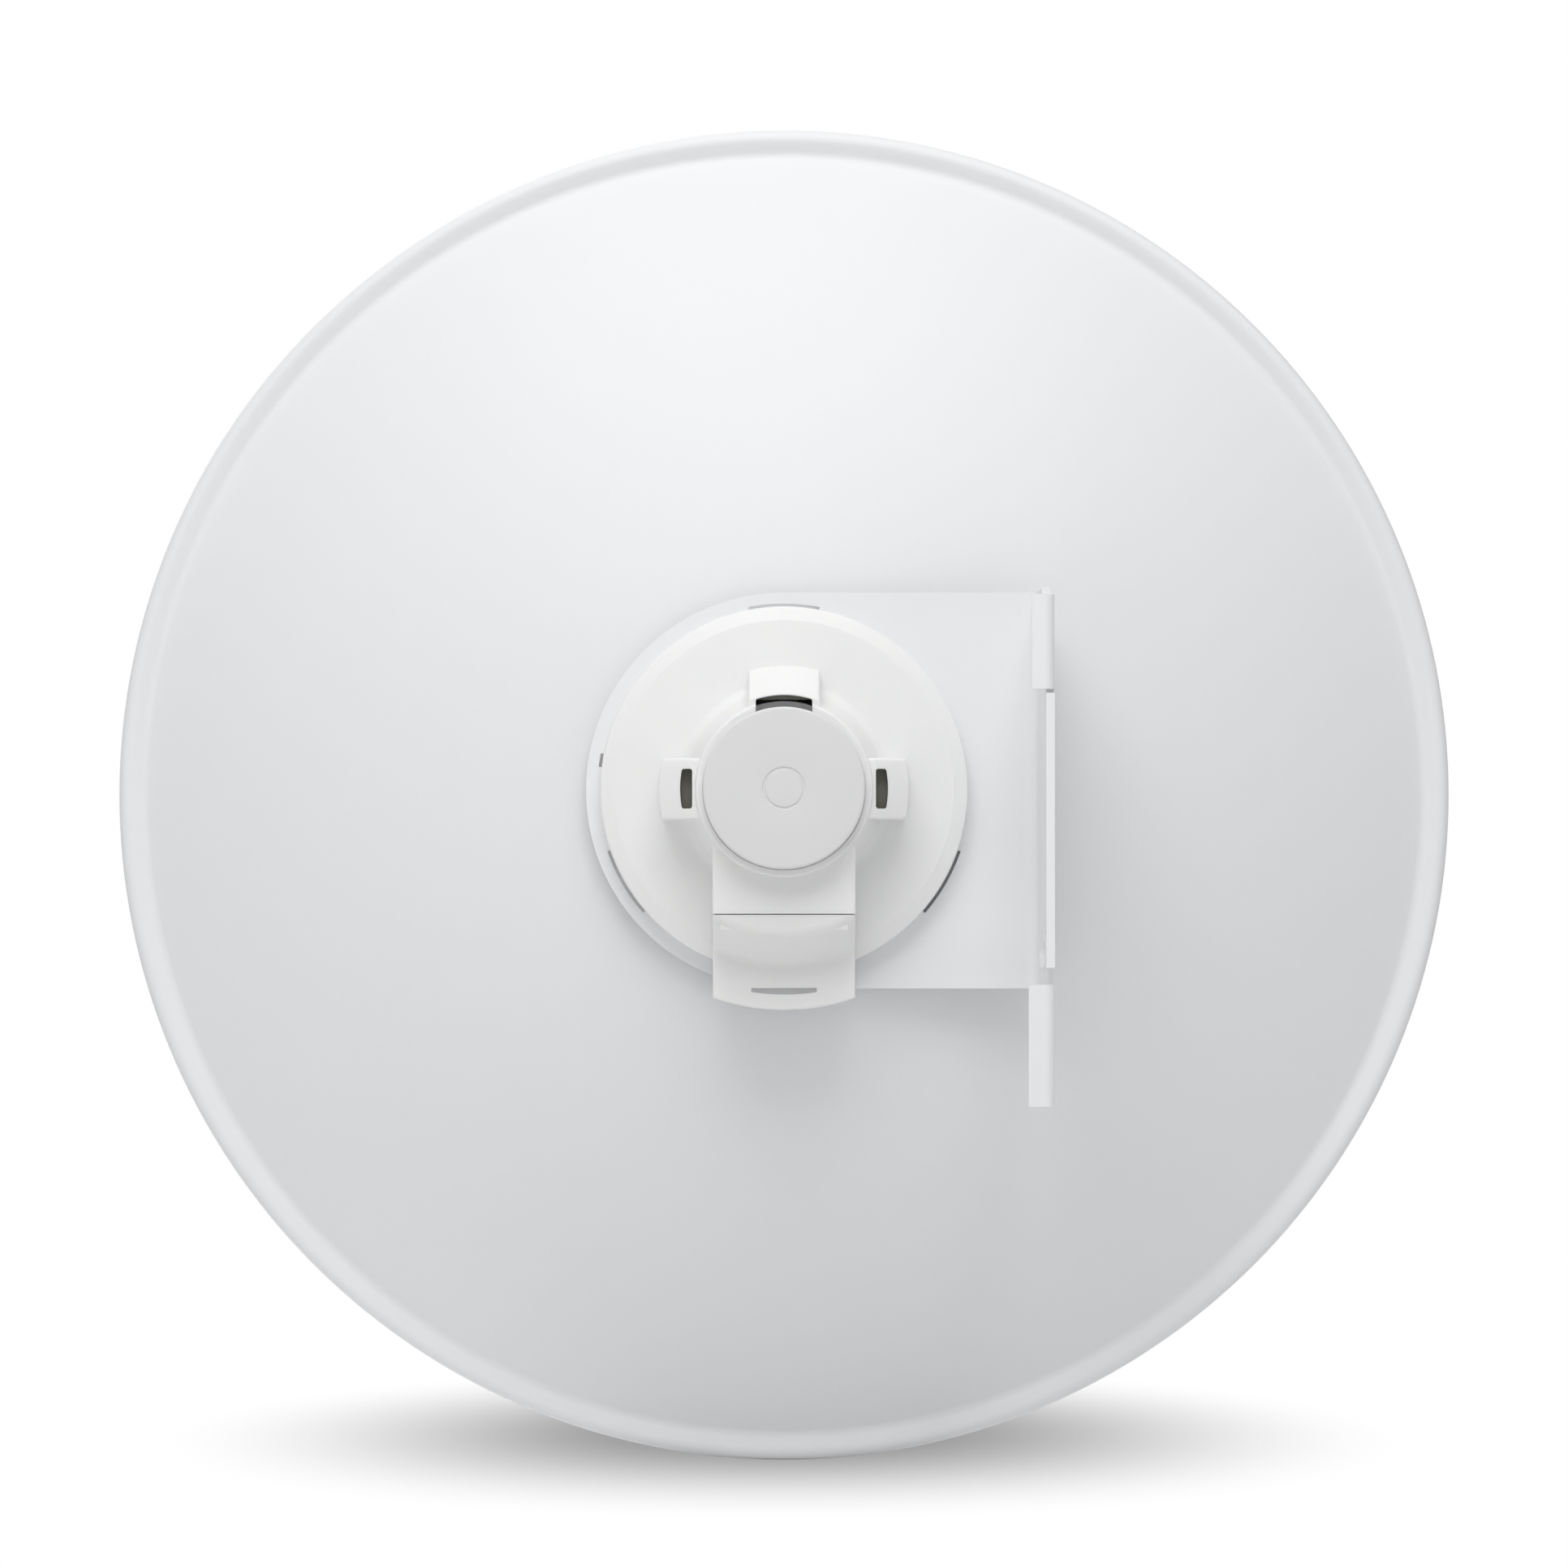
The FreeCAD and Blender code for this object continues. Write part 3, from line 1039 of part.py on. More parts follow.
def rf_shield():
    """The folded metal can over the radio circuits."""
    wall = SHIELD_WALL
    top = BOARD_SIDE + SHIELD_HEIGHT
    z = SHIELD_HALF_HEIGHT
    outside = block(BOARD_SIDE, top, SHIELD_FRONT, SHIELD_REAR, -z, z)
    inside = block(BOARD_SIDE - PAST, top - wall, SHIELD_FRONT + wall, SHIELD_REAR - wall, wall - z, z - wall)
    return outside.cut(inside)


def thermal_pad():
    """The soft pad between the radio board and the heat spreader."""
    half = SPREADER_HALF_HEIGHT
    return block(-BOARD_OFFSET - PAD_THICKNESS, -BOARD_OFFSET, SHIELD_FRONT, SHIELD_REAR, -half, half)


def heat_spreader():
    """The aluminium bar that takes the radio's heat along the tray."""
    high = -BOARD_OFFSET - PAD_THICKNESS
    half = SPREADER_HALF_HEIGHT
    return block(high - SPREADER_THICKNESS, high, SHIELD_FRONT, SHIELD_REAR, -half, half)


def jack_box():
    """The LAN jack's outer box."""
    high = JACK_MOUTH_Z + JACK_DEPTH
    body = block(BOARD_SIDE, BOARD_SIDE + JACK_HEIGHT, JACK_REAR - JACK_WIDTH, JACK_REAR, JACK_MOUTH_Z, high)
    return body.BoundBox


def lan_jack():
    """The LAN jack on the radio board, its socket opening downwards."""
    box = jack_box()
    body = block(box.XMin, box.XMax, box.YMin, box.YMax, box.ZMin, box.ZMax)
    middle = (box.YMin + box.YMax) / 2
    floor = box.XMin + SOCKET_FLOOR
    half = SOCKET_WIDTH / 2
    top = box.ZMin + SOCKET_DEPTH
    socket = block(floor, floor + SOCKET_HEIGHT, middle - half, middle + half, box.ZMin - PAST, top)
    notch_half = CLIP_NOTCH_WIDTH / 2
    roof = floor + SOCKET_HEIGHT + CLIP_NOTCH_HEIGHT
    notch = block(floor, roof, middle - notch_half, middle + notch_half, box.ZMin - PAST, top)
    return body.cut([socket, notch])


def wall_bottom(x, radius):
    """How far below the boresight a tube's lower wall lies at a place across it."""
    return -math.sqrt(radius**2 - x**2)


def button_low():
    """The height of the reset button's lower end, just inside the feed tube's lower wall."""
    return wall_bottom(INDICATOR_X, TUBE_RADIUS) + BUTTON_RECESS + BUTTON_RADIUS / 2


def reset_button():
    """The reset button's plunger, flush with the feed tube's lower wall."""
    low = button_low()
    flange_low = wall_bottom(INDICATOR_X - BUTTON_FLANGE_RADIUS, TUBE_INNER_RADIUS) + SEAM
    foot = V(INDICATOR_X, BUTTON_Y, low)
    plunger = Part.makeCylinder(BUTTON_RADIUS, BUTTON_LENGTH, foot)
    foot.z = flange_low
    return plunger.fuse(Part.makeCylinder(BUTTON_FLANGE_RADIUS, BUTTON_FLANGE_HEIGHT, foot))


def reset_switch():
    """The push switch on the radio board behind the reset button."""
    width, depth, height = SWITCH_SIZE
    low = button_low() + BUTTON_LENGTH + BUTTON_TRAVEL + SEAM
    half = depth / 2
    return block(-BOARD_OFFSET - width, -BOARD_OFFSET, BUTTON_Y - half, BUTTON_Y + half, low, low + height)


def light_places():
    """Where each status light's pipe lies along the boresight."""
    return [LIGHT_FIRST_Y + LIGHT_PITCH * i for i in range(LIGHT_COUNT)]


def status_light_pipes():
    """A comb of clear light pipes from the radio board's lamps to the feed tube's lower wall."""
    low = wall_bottom(INDICATOR_X, TUBE_RADIUS) + BUTTON_RECESS + LIGHT_RADIUS / 2
    high = low + LIGHT_LENGTH
    places = light_places()
    pipes = [rod(LIGHT_RADIUS, (INDICATOR_X, y, low), (INDICATOR_X, y, high)) for y in places]
    bar = block(
        INDICATOR_X - LIGHT_RADIUS,
        -BOARD_OFFSET,
        places[0] - LIGHT_RADIUS,
        places[-1] + LIGHT_RADIUS,
        high - LIGHT_BAR,
        high,
    )
    return bar.fuse(pipes).removeSplitter()


def reflector_bolts():
    """Four carriage bolts with domed heads on the reflector's front face."""
    head_front = -REFLECTOR_SHEET - BOLT_HEAD_HEIGHT
    sphere = (BOLT_HEAD_RADIUS**2 + BOLT_HEAD_HEIGHT**2) / (2 * BOLT_HEAD_HEIGHT)
    dome = Part.makeSphere(sphere, V(0, head_front + sphere, 0))
    dome = dome.common(tube(BOLT_HEAD_RADIUS + PAST, head_front - PAST, -REFLECTOR_SHEET))
    shank_end = PLATE_REAR + WASHER_THICKNESS + NUT_HEIGHT + BOLT_PAST_NUT
    half = BOLT_NECK_SIDE / 2
    neck = block(-half, half, -REFLECTOR_SHEET, BOLT_NECK_LENGTH - REFLECTOR_SHEET, -half, half)
    bolt = dome.fuse([neck, tube(BOLT_RADIUS, -REFLECTOR_SHEET, shank_end)])
    return bolt_circle(bolt)


def bolt_circle(shape):
    """A copy of the shape at each reflector bolt."""
    copies = []
    for angle in BOLT_ANGLES:
        copy = turned(shape, 90 - angle)
        copy.translate(at_angle(BOLT_CIRCLE_RADIUS, angle))
        copies.append(copy)
    return Part.makeCompound(copies)


def reflector_washers():
    """The washers under the nuts."""
    rear = PLATE_REAR + WASHER_THICKNESS
    washer = tube(WASHER_RADIUS, PLATE_REAR, rear).cut(tube(BOLT_RADIUS + SEAM, -PAST, rear + PAST))
    return bolt_circle(washer)


def reflector_nuts():
    """The hexagon nuts behind the bracket plate."""
    front = PLATE_REAR + WASHER_THICKNESS
    corners = []
    for i in range(6):
        corner = at_angle(NUT_FLATS / math.sqrt(3), 60 * i)
        corners.append((corner.x, corner.z))
    nut = plate_xz(corners, front, front + NUT_HEIGHT)
    nut = nut.cut(tube(BOLT_RADIUS + SNUG, -PAST, front + NUT_HEIGHT + PAST))
    return bolt_circle(nut)


NODES = {
    "reflector": reflector,
    "mount_bracket": mount_bracket,
    "rear_housing": rear_housing,
    "reflector_bolts": reflector_bolts,
    "reflector_washers": reflector_washers,
    "reflector_nuts": reflector_nuts,
    "port_cover": port_cover,
    "feed_tube": feed_tube,
    "tail_cap": tail_cap,
    "tail_seal": tail_seal,
    "feed_tip": feed_tip,
    "tip_seal": tip_seal,
    "sub_reflector": sub_reflector,
    "feed_antenna": feed_antenna,
    "radio_board": radio_board,
    "board_tray": board_tray,
    "board_screws": board_screws,
    "rf_shield": rf_shield,
    "thermal_pad": thermal_pad,
    "heat_spreader": heat_spreader,
    "lan_jack": lan_jack,
    "reset_switch": reset_switch,
    "reset_button": reset_button,
    "status_light_pipes": status_light_pipes,
}


def main():
    """Builds every node and the three latches, and writes their files."""
    os.makedirs(PARTS_FOLDER, exist_ok=True)
    for name, build in NODES.items():
        save(name, build())
    for side, angle in LATCH_TURNS.items():
        save("feed_latch_" + side, turned(latch(), angle))


main()
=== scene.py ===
import logging
import math
from dataclasses import dataclass
from enum import Enum
from typing import Callable, Sequence

import bpy
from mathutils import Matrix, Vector


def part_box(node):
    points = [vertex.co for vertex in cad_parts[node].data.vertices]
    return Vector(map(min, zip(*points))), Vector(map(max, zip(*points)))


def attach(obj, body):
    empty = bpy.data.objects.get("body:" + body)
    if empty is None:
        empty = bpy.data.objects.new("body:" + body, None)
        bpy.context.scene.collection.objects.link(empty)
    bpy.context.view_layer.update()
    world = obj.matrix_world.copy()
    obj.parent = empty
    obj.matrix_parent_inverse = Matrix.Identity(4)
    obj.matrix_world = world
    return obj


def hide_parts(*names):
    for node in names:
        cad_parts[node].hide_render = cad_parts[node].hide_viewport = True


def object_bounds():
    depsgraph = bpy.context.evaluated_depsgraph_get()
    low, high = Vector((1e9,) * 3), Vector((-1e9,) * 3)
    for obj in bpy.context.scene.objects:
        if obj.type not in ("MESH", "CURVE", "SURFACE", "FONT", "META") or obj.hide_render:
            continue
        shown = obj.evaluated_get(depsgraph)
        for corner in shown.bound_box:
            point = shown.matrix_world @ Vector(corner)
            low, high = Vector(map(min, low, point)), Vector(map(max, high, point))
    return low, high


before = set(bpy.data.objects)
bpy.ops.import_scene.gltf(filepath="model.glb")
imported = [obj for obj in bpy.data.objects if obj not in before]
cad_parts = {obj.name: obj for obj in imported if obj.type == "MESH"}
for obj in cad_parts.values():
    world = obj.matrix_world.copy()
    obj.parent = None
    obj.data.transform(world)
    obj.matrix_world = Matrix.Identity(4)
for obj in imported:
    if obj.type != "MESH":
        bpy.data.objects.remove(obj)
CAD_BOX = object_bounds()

"""Looks of the outdoor wireless bridge: finishes, modelled pieces, floor, light and camera.

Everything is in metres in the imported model's frame. The antenna's boresight runs along Y through the middle
of the tail cap, the antenna looks along -Y, and Z is up. Profiles are given about the boresight as
(radius, y) pairs in millimetres, y = 0 being the front face of the bracket's plate.
"""

LOG = logging.getLogger("bridge")
MM = 0.001


def middle_of(node: str) -> Vector:
    """The middle of a CAD node's box."""
    low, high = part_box(node)
    return (low + high) / 2


BORESIGHT = Vector((middle_of("tail_cap").x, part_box("mount_bracket")[0].y, middle_of("tail_cap").z))


def place(x: float, y: float, z: float) -> Vector:
    """A point of the frame from millimetres about the boresight."""
    return BORESIGHT + Vector((x, y, z)) * MM


# ---------------------------------------------------------------- shader building


class Effect(Enum):
    """The shared shader node groups."""

    RELIEF = "fine_relief"
    DRIFT = "tone_drift"
    HAZE = "handling_haze"
    DUST = "settled_dust"


class Shading:
    """Small helpers that lay out shader nodes."""

    @staticmethod
    def node(tree: bpy.types.NodeTree, kind: str, **values: object) -> bpy.types.Node:
        """Adds a node and sets its properties and input sockets.

        Args:
            tree: the node tree to add to.
            kind: the node's type name.
            values: properties by name, or input sockets by name with spaces as underscores.

        Returns:
            The new node.
        """
        made = tree.nodes.new(kind)
        for name, value in values.items():
            socket = name.replace("_", " ")
            if socket in made.inputs:
                made.inputs[socket].default_value = value
            else:
                setattr(made, name, value)
        return made

    @staticmethod
    def maths(tree: bpy.types.NodeTree, operation: str, first: object, second: object) -> bpy.types.NodeSocket:
        """Joins two values with a Math node.

        Args:
            tree: the node tree to add to.
            operation: the Math node's operation.
            first: a socket or a number.
            second: a socket or a number.

        Returns:
            The result's socket.
        """
        made = tree.nodes.new("ShaderNodeMath")
        made.operation = operation
        for slot, value in enumerate((first, second)):
            if isinstance(value, bpy.types.NodeSocket):
                tree.links.new(value, made.inputs[slot])
            else:
                made.inputs[slot].default_value = value
        return made.outputs[0]

    @staticmethod
    def for_the_lens(
        tree: bpy.types.NodeTree, lit: bpy.types.Node, seen: bpy.types.Node
    ) -> bpy.types.NodeSocket:
        """Shows one shader to the camera and another to everything else.

        Args:
            tree: the node tree to add to.
            lit: the shader that lights and is lit.
            seen: the shader that the camera sees.

        Returns:
            The mixed shader's socket.
        """
        path = tree.nodes.new("ShaderNodeLightPath")
        mix = tree.nodes.new("ShaderNodeMixShader")
        tree.links.new(path.outputs["Is Camera Ray"], mix.inputs[0])
        tree.links.new(lit.outputs[0], mix.inputs[1])
        tree.links.new(seen.outputs[0], mix.inputs[2])
        return mix.outputs[0]


class EffectLibrary:
    """Builds each shared node group once, when a finish first asks for it."""

    def __init__(self) -> None:
        """Starts with nothing built."""
        self.builders: dict[Effect, Callable[[bpy.types.NodeTree], None]] = {
            Effect.RELIEF: self._relief,
            Effect.DRIFT: self._drift,
            Effect.HAZE: self._haze,
            Effect.DUST: self._dust,
        }
        self.groups: dict[Effect, bpy.types.NodeTree] = {}

    def use(self, tree: bpy.types.NodeTree, effect: Effect, **values: float) -> bpy.types.Node:
        """Places an effect in a material.

        Args:
            tree: the material's node tree.
            effect: which effect.
            values: the effect's inputs by name.

        Returns:
            The group node.
        """
        if effect not in self.groups:
            group = bpy.data.node_groups.new(effect.value, "ShaderNodeTree")
            self.builders[effect](group)
            self.groups[effect] = group
        made = tree.nodes.new("ShaderNodeGroup")
        made.node_tree = self.groups[effect]
        for name, value in values.items():
            made.inputs[name.replace("_", " ")].default_value = value
        return made

    @staticmethod
    def _sockets(
        group: bpy.types.NodeTree, inputs: dict[str, float], outputs: Sequence[str], colour: bool = False
    ) -> tuple[bpy.types.Node, bpy.types.Node]:
        """Gives a group its named sockets.

        Args:
            group: the group.
            inputs: the float inputs with their defaults.
            outputs: the outputs' names.
            colour: whether the group also takes a colour and puts one out.

        Returns:
            The group's input and output nodes.
        """
        if colour:
            group.interface.new_socket("Color", in_out="INPUT", socket_type="NodeSocketColor")
            group.interface.new_socket("Color", in_out="OUTPUT", socket_type="NodeSocketColor")
        for name, value in inputs.items():
            socket = group.interface.new_socket(name, in_out="INPUT", socket_type="NodeSocketFloat")
            socket.default_value = value
        for name in outputs:
            group.interface.new_socket(name, in_out="OUTPUT", socket_type="NodeSocketFloat")
        return group.nodes.new("NodeGroupInput"), group.nodes.new("NodeGroupOutput")

    @staticmethod
    def _noise(group: bpy.types.NodeTree, scale: bpy.types.NodeSocket, **values: float) -> bpy.types.NodeSocket:
        """Noise on the piece's own coordinates.

        Args:
            group: the group to add to.
            scale: the socket that sets the noise's scale.
            values: the noise's other inputs by name.

        Returns:
            The noise's value.
        """
        coords = group.nodes.new("ShaderNodeTexCoord")
        noise = Shading.node(group, "ShaderNodeTexNoise", **values)
        group.links.new(coords.outputs["Object"], noise.inputs["Vector"])
        group.links.new(scale, noise.inputs["Scale"])
        return noise.outputs["Fac"]

    def _relief(self, group: bpy.types.NodeTree) -> None:
        """Fine surface relief: a soft ripple with a finer grain on it.

        Args:
            group: the empty group.
        """
        inner, outer = self._sockets(group, {"Ripple Scale": 500.0, "Grain Scale": 2500.0, "Grain": 0.3}, ["Height"])
        ripple = self._noise(group, inner.outputs["Ripple Scale"], Detail=1.0, Roughness=0.4)
        grain = self._noise(group, inner.outputs["Grain Scale"], Detail=2.0, Roughness=0.6)
        grained = Shading.maths(group, "MULTIPLY", grain, inner.outputs["Grain"])
        height = Shading.maths(group, "ADD", ripple, grained)
        group.links.new(height, outer.inputs["Height"])

    def _drift(self, group: bpy.types.NodeTree) -> None:
        """A slow drift of tone over a large surface.

        Args:
            group: the empty group.
        """
        inner, outer = self._sockets(group, {"Scale": 12.0, "Amount": 0.04}, [], colour=True)
        noise = self._noise(group, inner.outputs["Scale"], Detail=3.0, Roughness=0.55)
        swing = Shading.maths(group, "SUBTRACT", noise, 0.5)
        swing = Shading.maths(group, "MULTIPLY", swing, inner.outputs["Amount"])
        value = Shading.maths(group, "ADD", swing, 1.0)
        shade = group.nodes.new("ShaderNodeHueSaturation")
        group.links.new(inner.outputs["Color"], shade.inputs["Color"])
        group.links.new(value, shade.inputs["Value"])
        group.links.new(shade.outputs["Color"], outer.inputs["Color"])

    def _haze(self, group: bpy.types.NodeTree) -> None:
        """Roughness with faint wipe marks and handling haze.

        Args:
            group: the empty group.
        """
        inner, outer = self._sockets(group, {"Roughness": 0.4, "Spread": 0.08, "Scale": 30.0}, ["Roughness"])
        smudge = self._noise(group, inner.outputs["Scale"], Detail=5.0, Roughness=0.62, Distortion=0.6)
        swing = Shading.maths(group, "SUBTRACT", smudge, 0.5)
        swing = Shading.maths(group, "MULTIPLY", swing, inner.outputs["Spread"])
        swing = Shading.maths(group, "MULTIPLY", swing, 2.0)
        rough = Shading.maths(group, "ADD", inner.outputs["Roughness"], swing)
        group.links.new(rough, outer.inputs["Roughness"])

    def _dust(self, group: bpy.types.NodeTree) -> None:
        """A mask of fine dust that has settled on faces that look up.

        Args:
            group: the empty group.
        """
        inner, outer = self._sockets(group, {"Amount": 0.1, "Scale": 300.0}, ["Mask"])
        geometry = group.nodes.new("ShaderNodeNewGeometry")
        axes = group.nodes.new("ShaderNodeSeparateXYZ")
        group.links.new(geometry.outputs["Normal"], axes.inputs["Vector"])
        speck = self._noise(group, inner.outputs["Scale"], Detail=4.0, Roughness=0.7)
        upward = Shading.maths(group, "MAXIMUM", axes.outputs["Z"], 0.0)
        mask = Shading.maths(group, "MULTIPLY", upward, speck)
        mask = Shading.maths(group, "MULTIPLY", mask, inner.outputs["Amount"])
        group.links.new(mask, outer.inputs["Mask"])


LIBRARY = EffectLibrary()
SCATTER_RADIUS = (1.0, 0.9, 0.7)
SCATTER_SCALE = 0.003
DUST_COLOUR = (0.60, 0.58, 0.54, 1.0)


@dataclass(frozen=True)
class Finish:
    """One surface finish, from the record's slot that it dresses to the values of its shader."""

    slot: str
    colour: tuple[float, float, float]
    roughness: float
    spread: float = 0.05
    metallic: float = 0.0
    coat: float = 0.0
    ripple: float = 500.0
    grain_scale: float = 2500.0
    grain: float = 0.3
    depth: float = 0.00001
    drift: float = 0.03
    dust: float = 0.06
    scatter: float = 0.0

    def build(self) -> bpy.types.Material:
        """Makes the finish's material.

        Returns:
            The material.
        """
        material = bpy.data.materials.new(self.slot)
        material.use_nodes = True
        tree = material.node_tree
        surface = tree.nodes["Principled BSDF"]
        surface.inputs["Metallic"].default_value = self.metallic
        surface.inputs["Coat Weight"].default_value = self.coat
        surface.inputs["Subsurface Weight"].default_value = self.scatter
        surface.inputs["Subsurface Radius"].default_value = SCATTER_RADIUS
        surface.inputs["Subsurface Scale"].default_value = SCATTER_SCALE
        self.colour_into(tree, surface)
        haze = LIBRARY.use(tree, Effect.HAZE, Roughness=self.roughness, Spread=self.spread)
        tree.links.new(haze.outputs["Roughness"], surface.inputs["Roughness"])
        self.relief_into(tree, surface)
        return material

    def colour_into(self, tree: bpy.types.NodeTree, surface: bpy.types.Node) -> None:
        """Lays the finish's colour, its slow drift and its dust.

        Args:
            tree: the material's node tree.
            surface: the shader.
        """
        drift = LIBRARY.use(tree, Effect.DRIFT, Amount=self.drift)
        drift.inputs["Color"].default_value = (*self.colour, 1.0)
        dust = LIBRARY.use(tree, Effect.DUST, Amount=self.dust)
        mix = Shading.node(tree, "ShaderNodeMix", data_type="RGBA")
        tree.links.new(dust.outputs["Mask"], mix.inputs["Factor"])
        tree.links.new(drift.outputs["Color"], mix.inputs[6])
        mix.inputs[7].default_value = DUST_COLOUR
        tree.links.new(mix.outputs[2], surface.inputs["Base Color"])

    def relief_into(self, tree: bpy.types.NodeTree, surface: bpy.types.Node) -> None:
        """Lays the finish's fine relief.

        Args:
            tree: the material's node tree.
            surface: the shader.
        """
        relief = LIBRARY.use(
            tree, Effect.RELIEF, Ripple_Scale=self.ripple, Grain_Scale=self.grain_scale, Grain=self.grain
        )
        bump = Shading.node(tree, "ShaderNodeBump", Strength=1.0, Distance=self.depth)
        tree.links.new(relief.outputs["Height"], bump.inputs["Height"])
        tree.links.new(bump.outputs["Normal"], surface.inputs["Normal"])


GRAINED = {"ripple": 1500.0, "grain": 0.8}
MOULDED = {**GRAINED, "depth": 0.000006}

FINISHES = [
    Finish("reflector_paint", (0.785, 0.79, 0.80), 0.60, ripple=420.0, depth=0.000016, drift=0.02),
    Finish("bracket_paint", (0.82, 0.826, 0.838), 0.52, ripple=700.0, depth=0.000022),
    Finish("housing_plastic", (0.83, 0.83, 0.825), 0.48, scatter=0.2, **MOULDED),
    Finish("cover_plastic", (0.79, 0.79, 0.785), 0.48, scatter=0.2, **MOULDED),
    Finish("cap_plastic", (0.70, 0.70, 0.70), 0.50, **MOULDED),
    Finish("feed_plastic", (0.82, 0.82, 0.82), 0.45, **MOULDED),
    Finish("latch_plastic", (0.62, 0.61, 0.52), 0.50, **MOULDED),
    Finish("seal_rubber", (0.03, 0.03, 0.032), 0.7, depth=0.00001, dust=0.2, **GRAINED),
    Finish("stainless_steel", (0.60, 0.60, 0.61), 0.28, metallic=1.0, depth=0.000003, dust=0.0),
    Finish("splash_aluminium", (0.75, 0.75, 0.76), 0.3, metallic=1.0, depth=0.000003, dust=0.0),
    Finish("circuit_board", (0.02, 0.12, 0.05), 0.35, coat=0.3, depth=0.000004, dust=0.0),
    Finish("tray_plastic", (0.12, 0.12, 0.125), 0.5, depth=0.00001, **GRAINED),
    Finish("tinned_steel", (0.68, 0.68, 0.66), 0.33, metallic=1.0, depth=0.000004, dust=0.0),
    Finish("thermal_silicone", (0.25, 0.42, 0.55), 0.65, ripple=1500.0, depth=0.00001, dust=0.0),
    Finish("jack_plastic", (0.05, 0.05, 0.055), 0.38, depth=0.000006),
    Finish("clear_plastic", (0.85, 0.88, 0.9), 0.15, depth=0.000002, dust=0.0),
    # shade_plastic is the dark colour of the sheets behind the hood windows: painted shade for the pockets, not a
    # real part's plastic.
    Finish("shade_plastic", (0.20, 0.195, 0.165), 0.55, **MOULDED),
    Finish("contact_gold", (0.80, 0.58, 0.24), 0.22, metallic=1.0, depth=0.000001, dust=0.0),
]


class Wardrobe:
    """Holds one material for each finish."""

    def __init__(self) -> None:
        """Builds every finish."""
        self.materials = {finish.slot: finish.build() for finish in FINISHES}

    def dress_nodes(self) -> None:
        """Puts the finishes on the CAD nodes' own material slots."""
        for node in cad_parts.values():
            for slot in node.material_slots:
                base = slot.material.name.split(".")[0]
                if base in self.materials:
                    slot.material = self.materials[base]

    def dress(self, piece: bpy.types.Object, slot: str) -> None:
        """Gives a piece the finish of one of the record's slots.

        Args:
            piece: the piece.
            slot: the slot's name.
        """
        piece.data.materials.clear()
        piece.data.materials.append(self.materials[slot])


# ---------------------------------------------------------------- modelling


BACKWARDS = Vector((0, 1, 0))
UPWARDS = Vector((0, 0, 1))


@dataclass(frozen=True)
class Corner:
    """One corner of a profile, in millimetres, with the radius that it is rounded to."""

    a: float
    b: float
    radius: float = 0.0


def rounded(corners: Sequence[Corner], steps: int = 6, closed: bool = False) -> list[Vector]:
    """Rounds a profile's corners.

    Args:
        corners: the profile's corners in order.
        steps: how many runs each rounded corner is made of.
        closed: whether the last corner joins the first.

    Returns:
        The profile's points.
    """
    points: list[Vector] = []
    count = len(corners)
    for number, corner in enumerate(corners):
        here = Vector((corner.a, corner.b))
        at_end = not closed and number in (0, count - 1)
        if corner.radius <= 0 or at_end:
            points.append(here)
            continue
        before = corners[number - 1]
        after = corners[(number + 1) % count]
        to_last = (Vector((before.a, before.b)) - here).normalized()
        to_next = (Vector((after.a, after.b)) - here).normalized()
        half = to_last.angle(to_next) / 2
        centre = here + (to_last + to_next).normalized() * (corner.radius / math.sin(half))
        start = here + to_last * (corner.radius / math.tan(half)) - centre
        end = here + to_next * (corner.radius / math.tan(half)) - centre
        sweep = start.angle_signed(end)
        for step in range(steps + 1):
            turn = -sweep * step / steps
            cosine, sine = math.cos(turn), math.sin(turn)
            points.append(centre + Vector((start.x * cosine - start.y * sine, start.x * sine + start.y * cosine)))
    return points


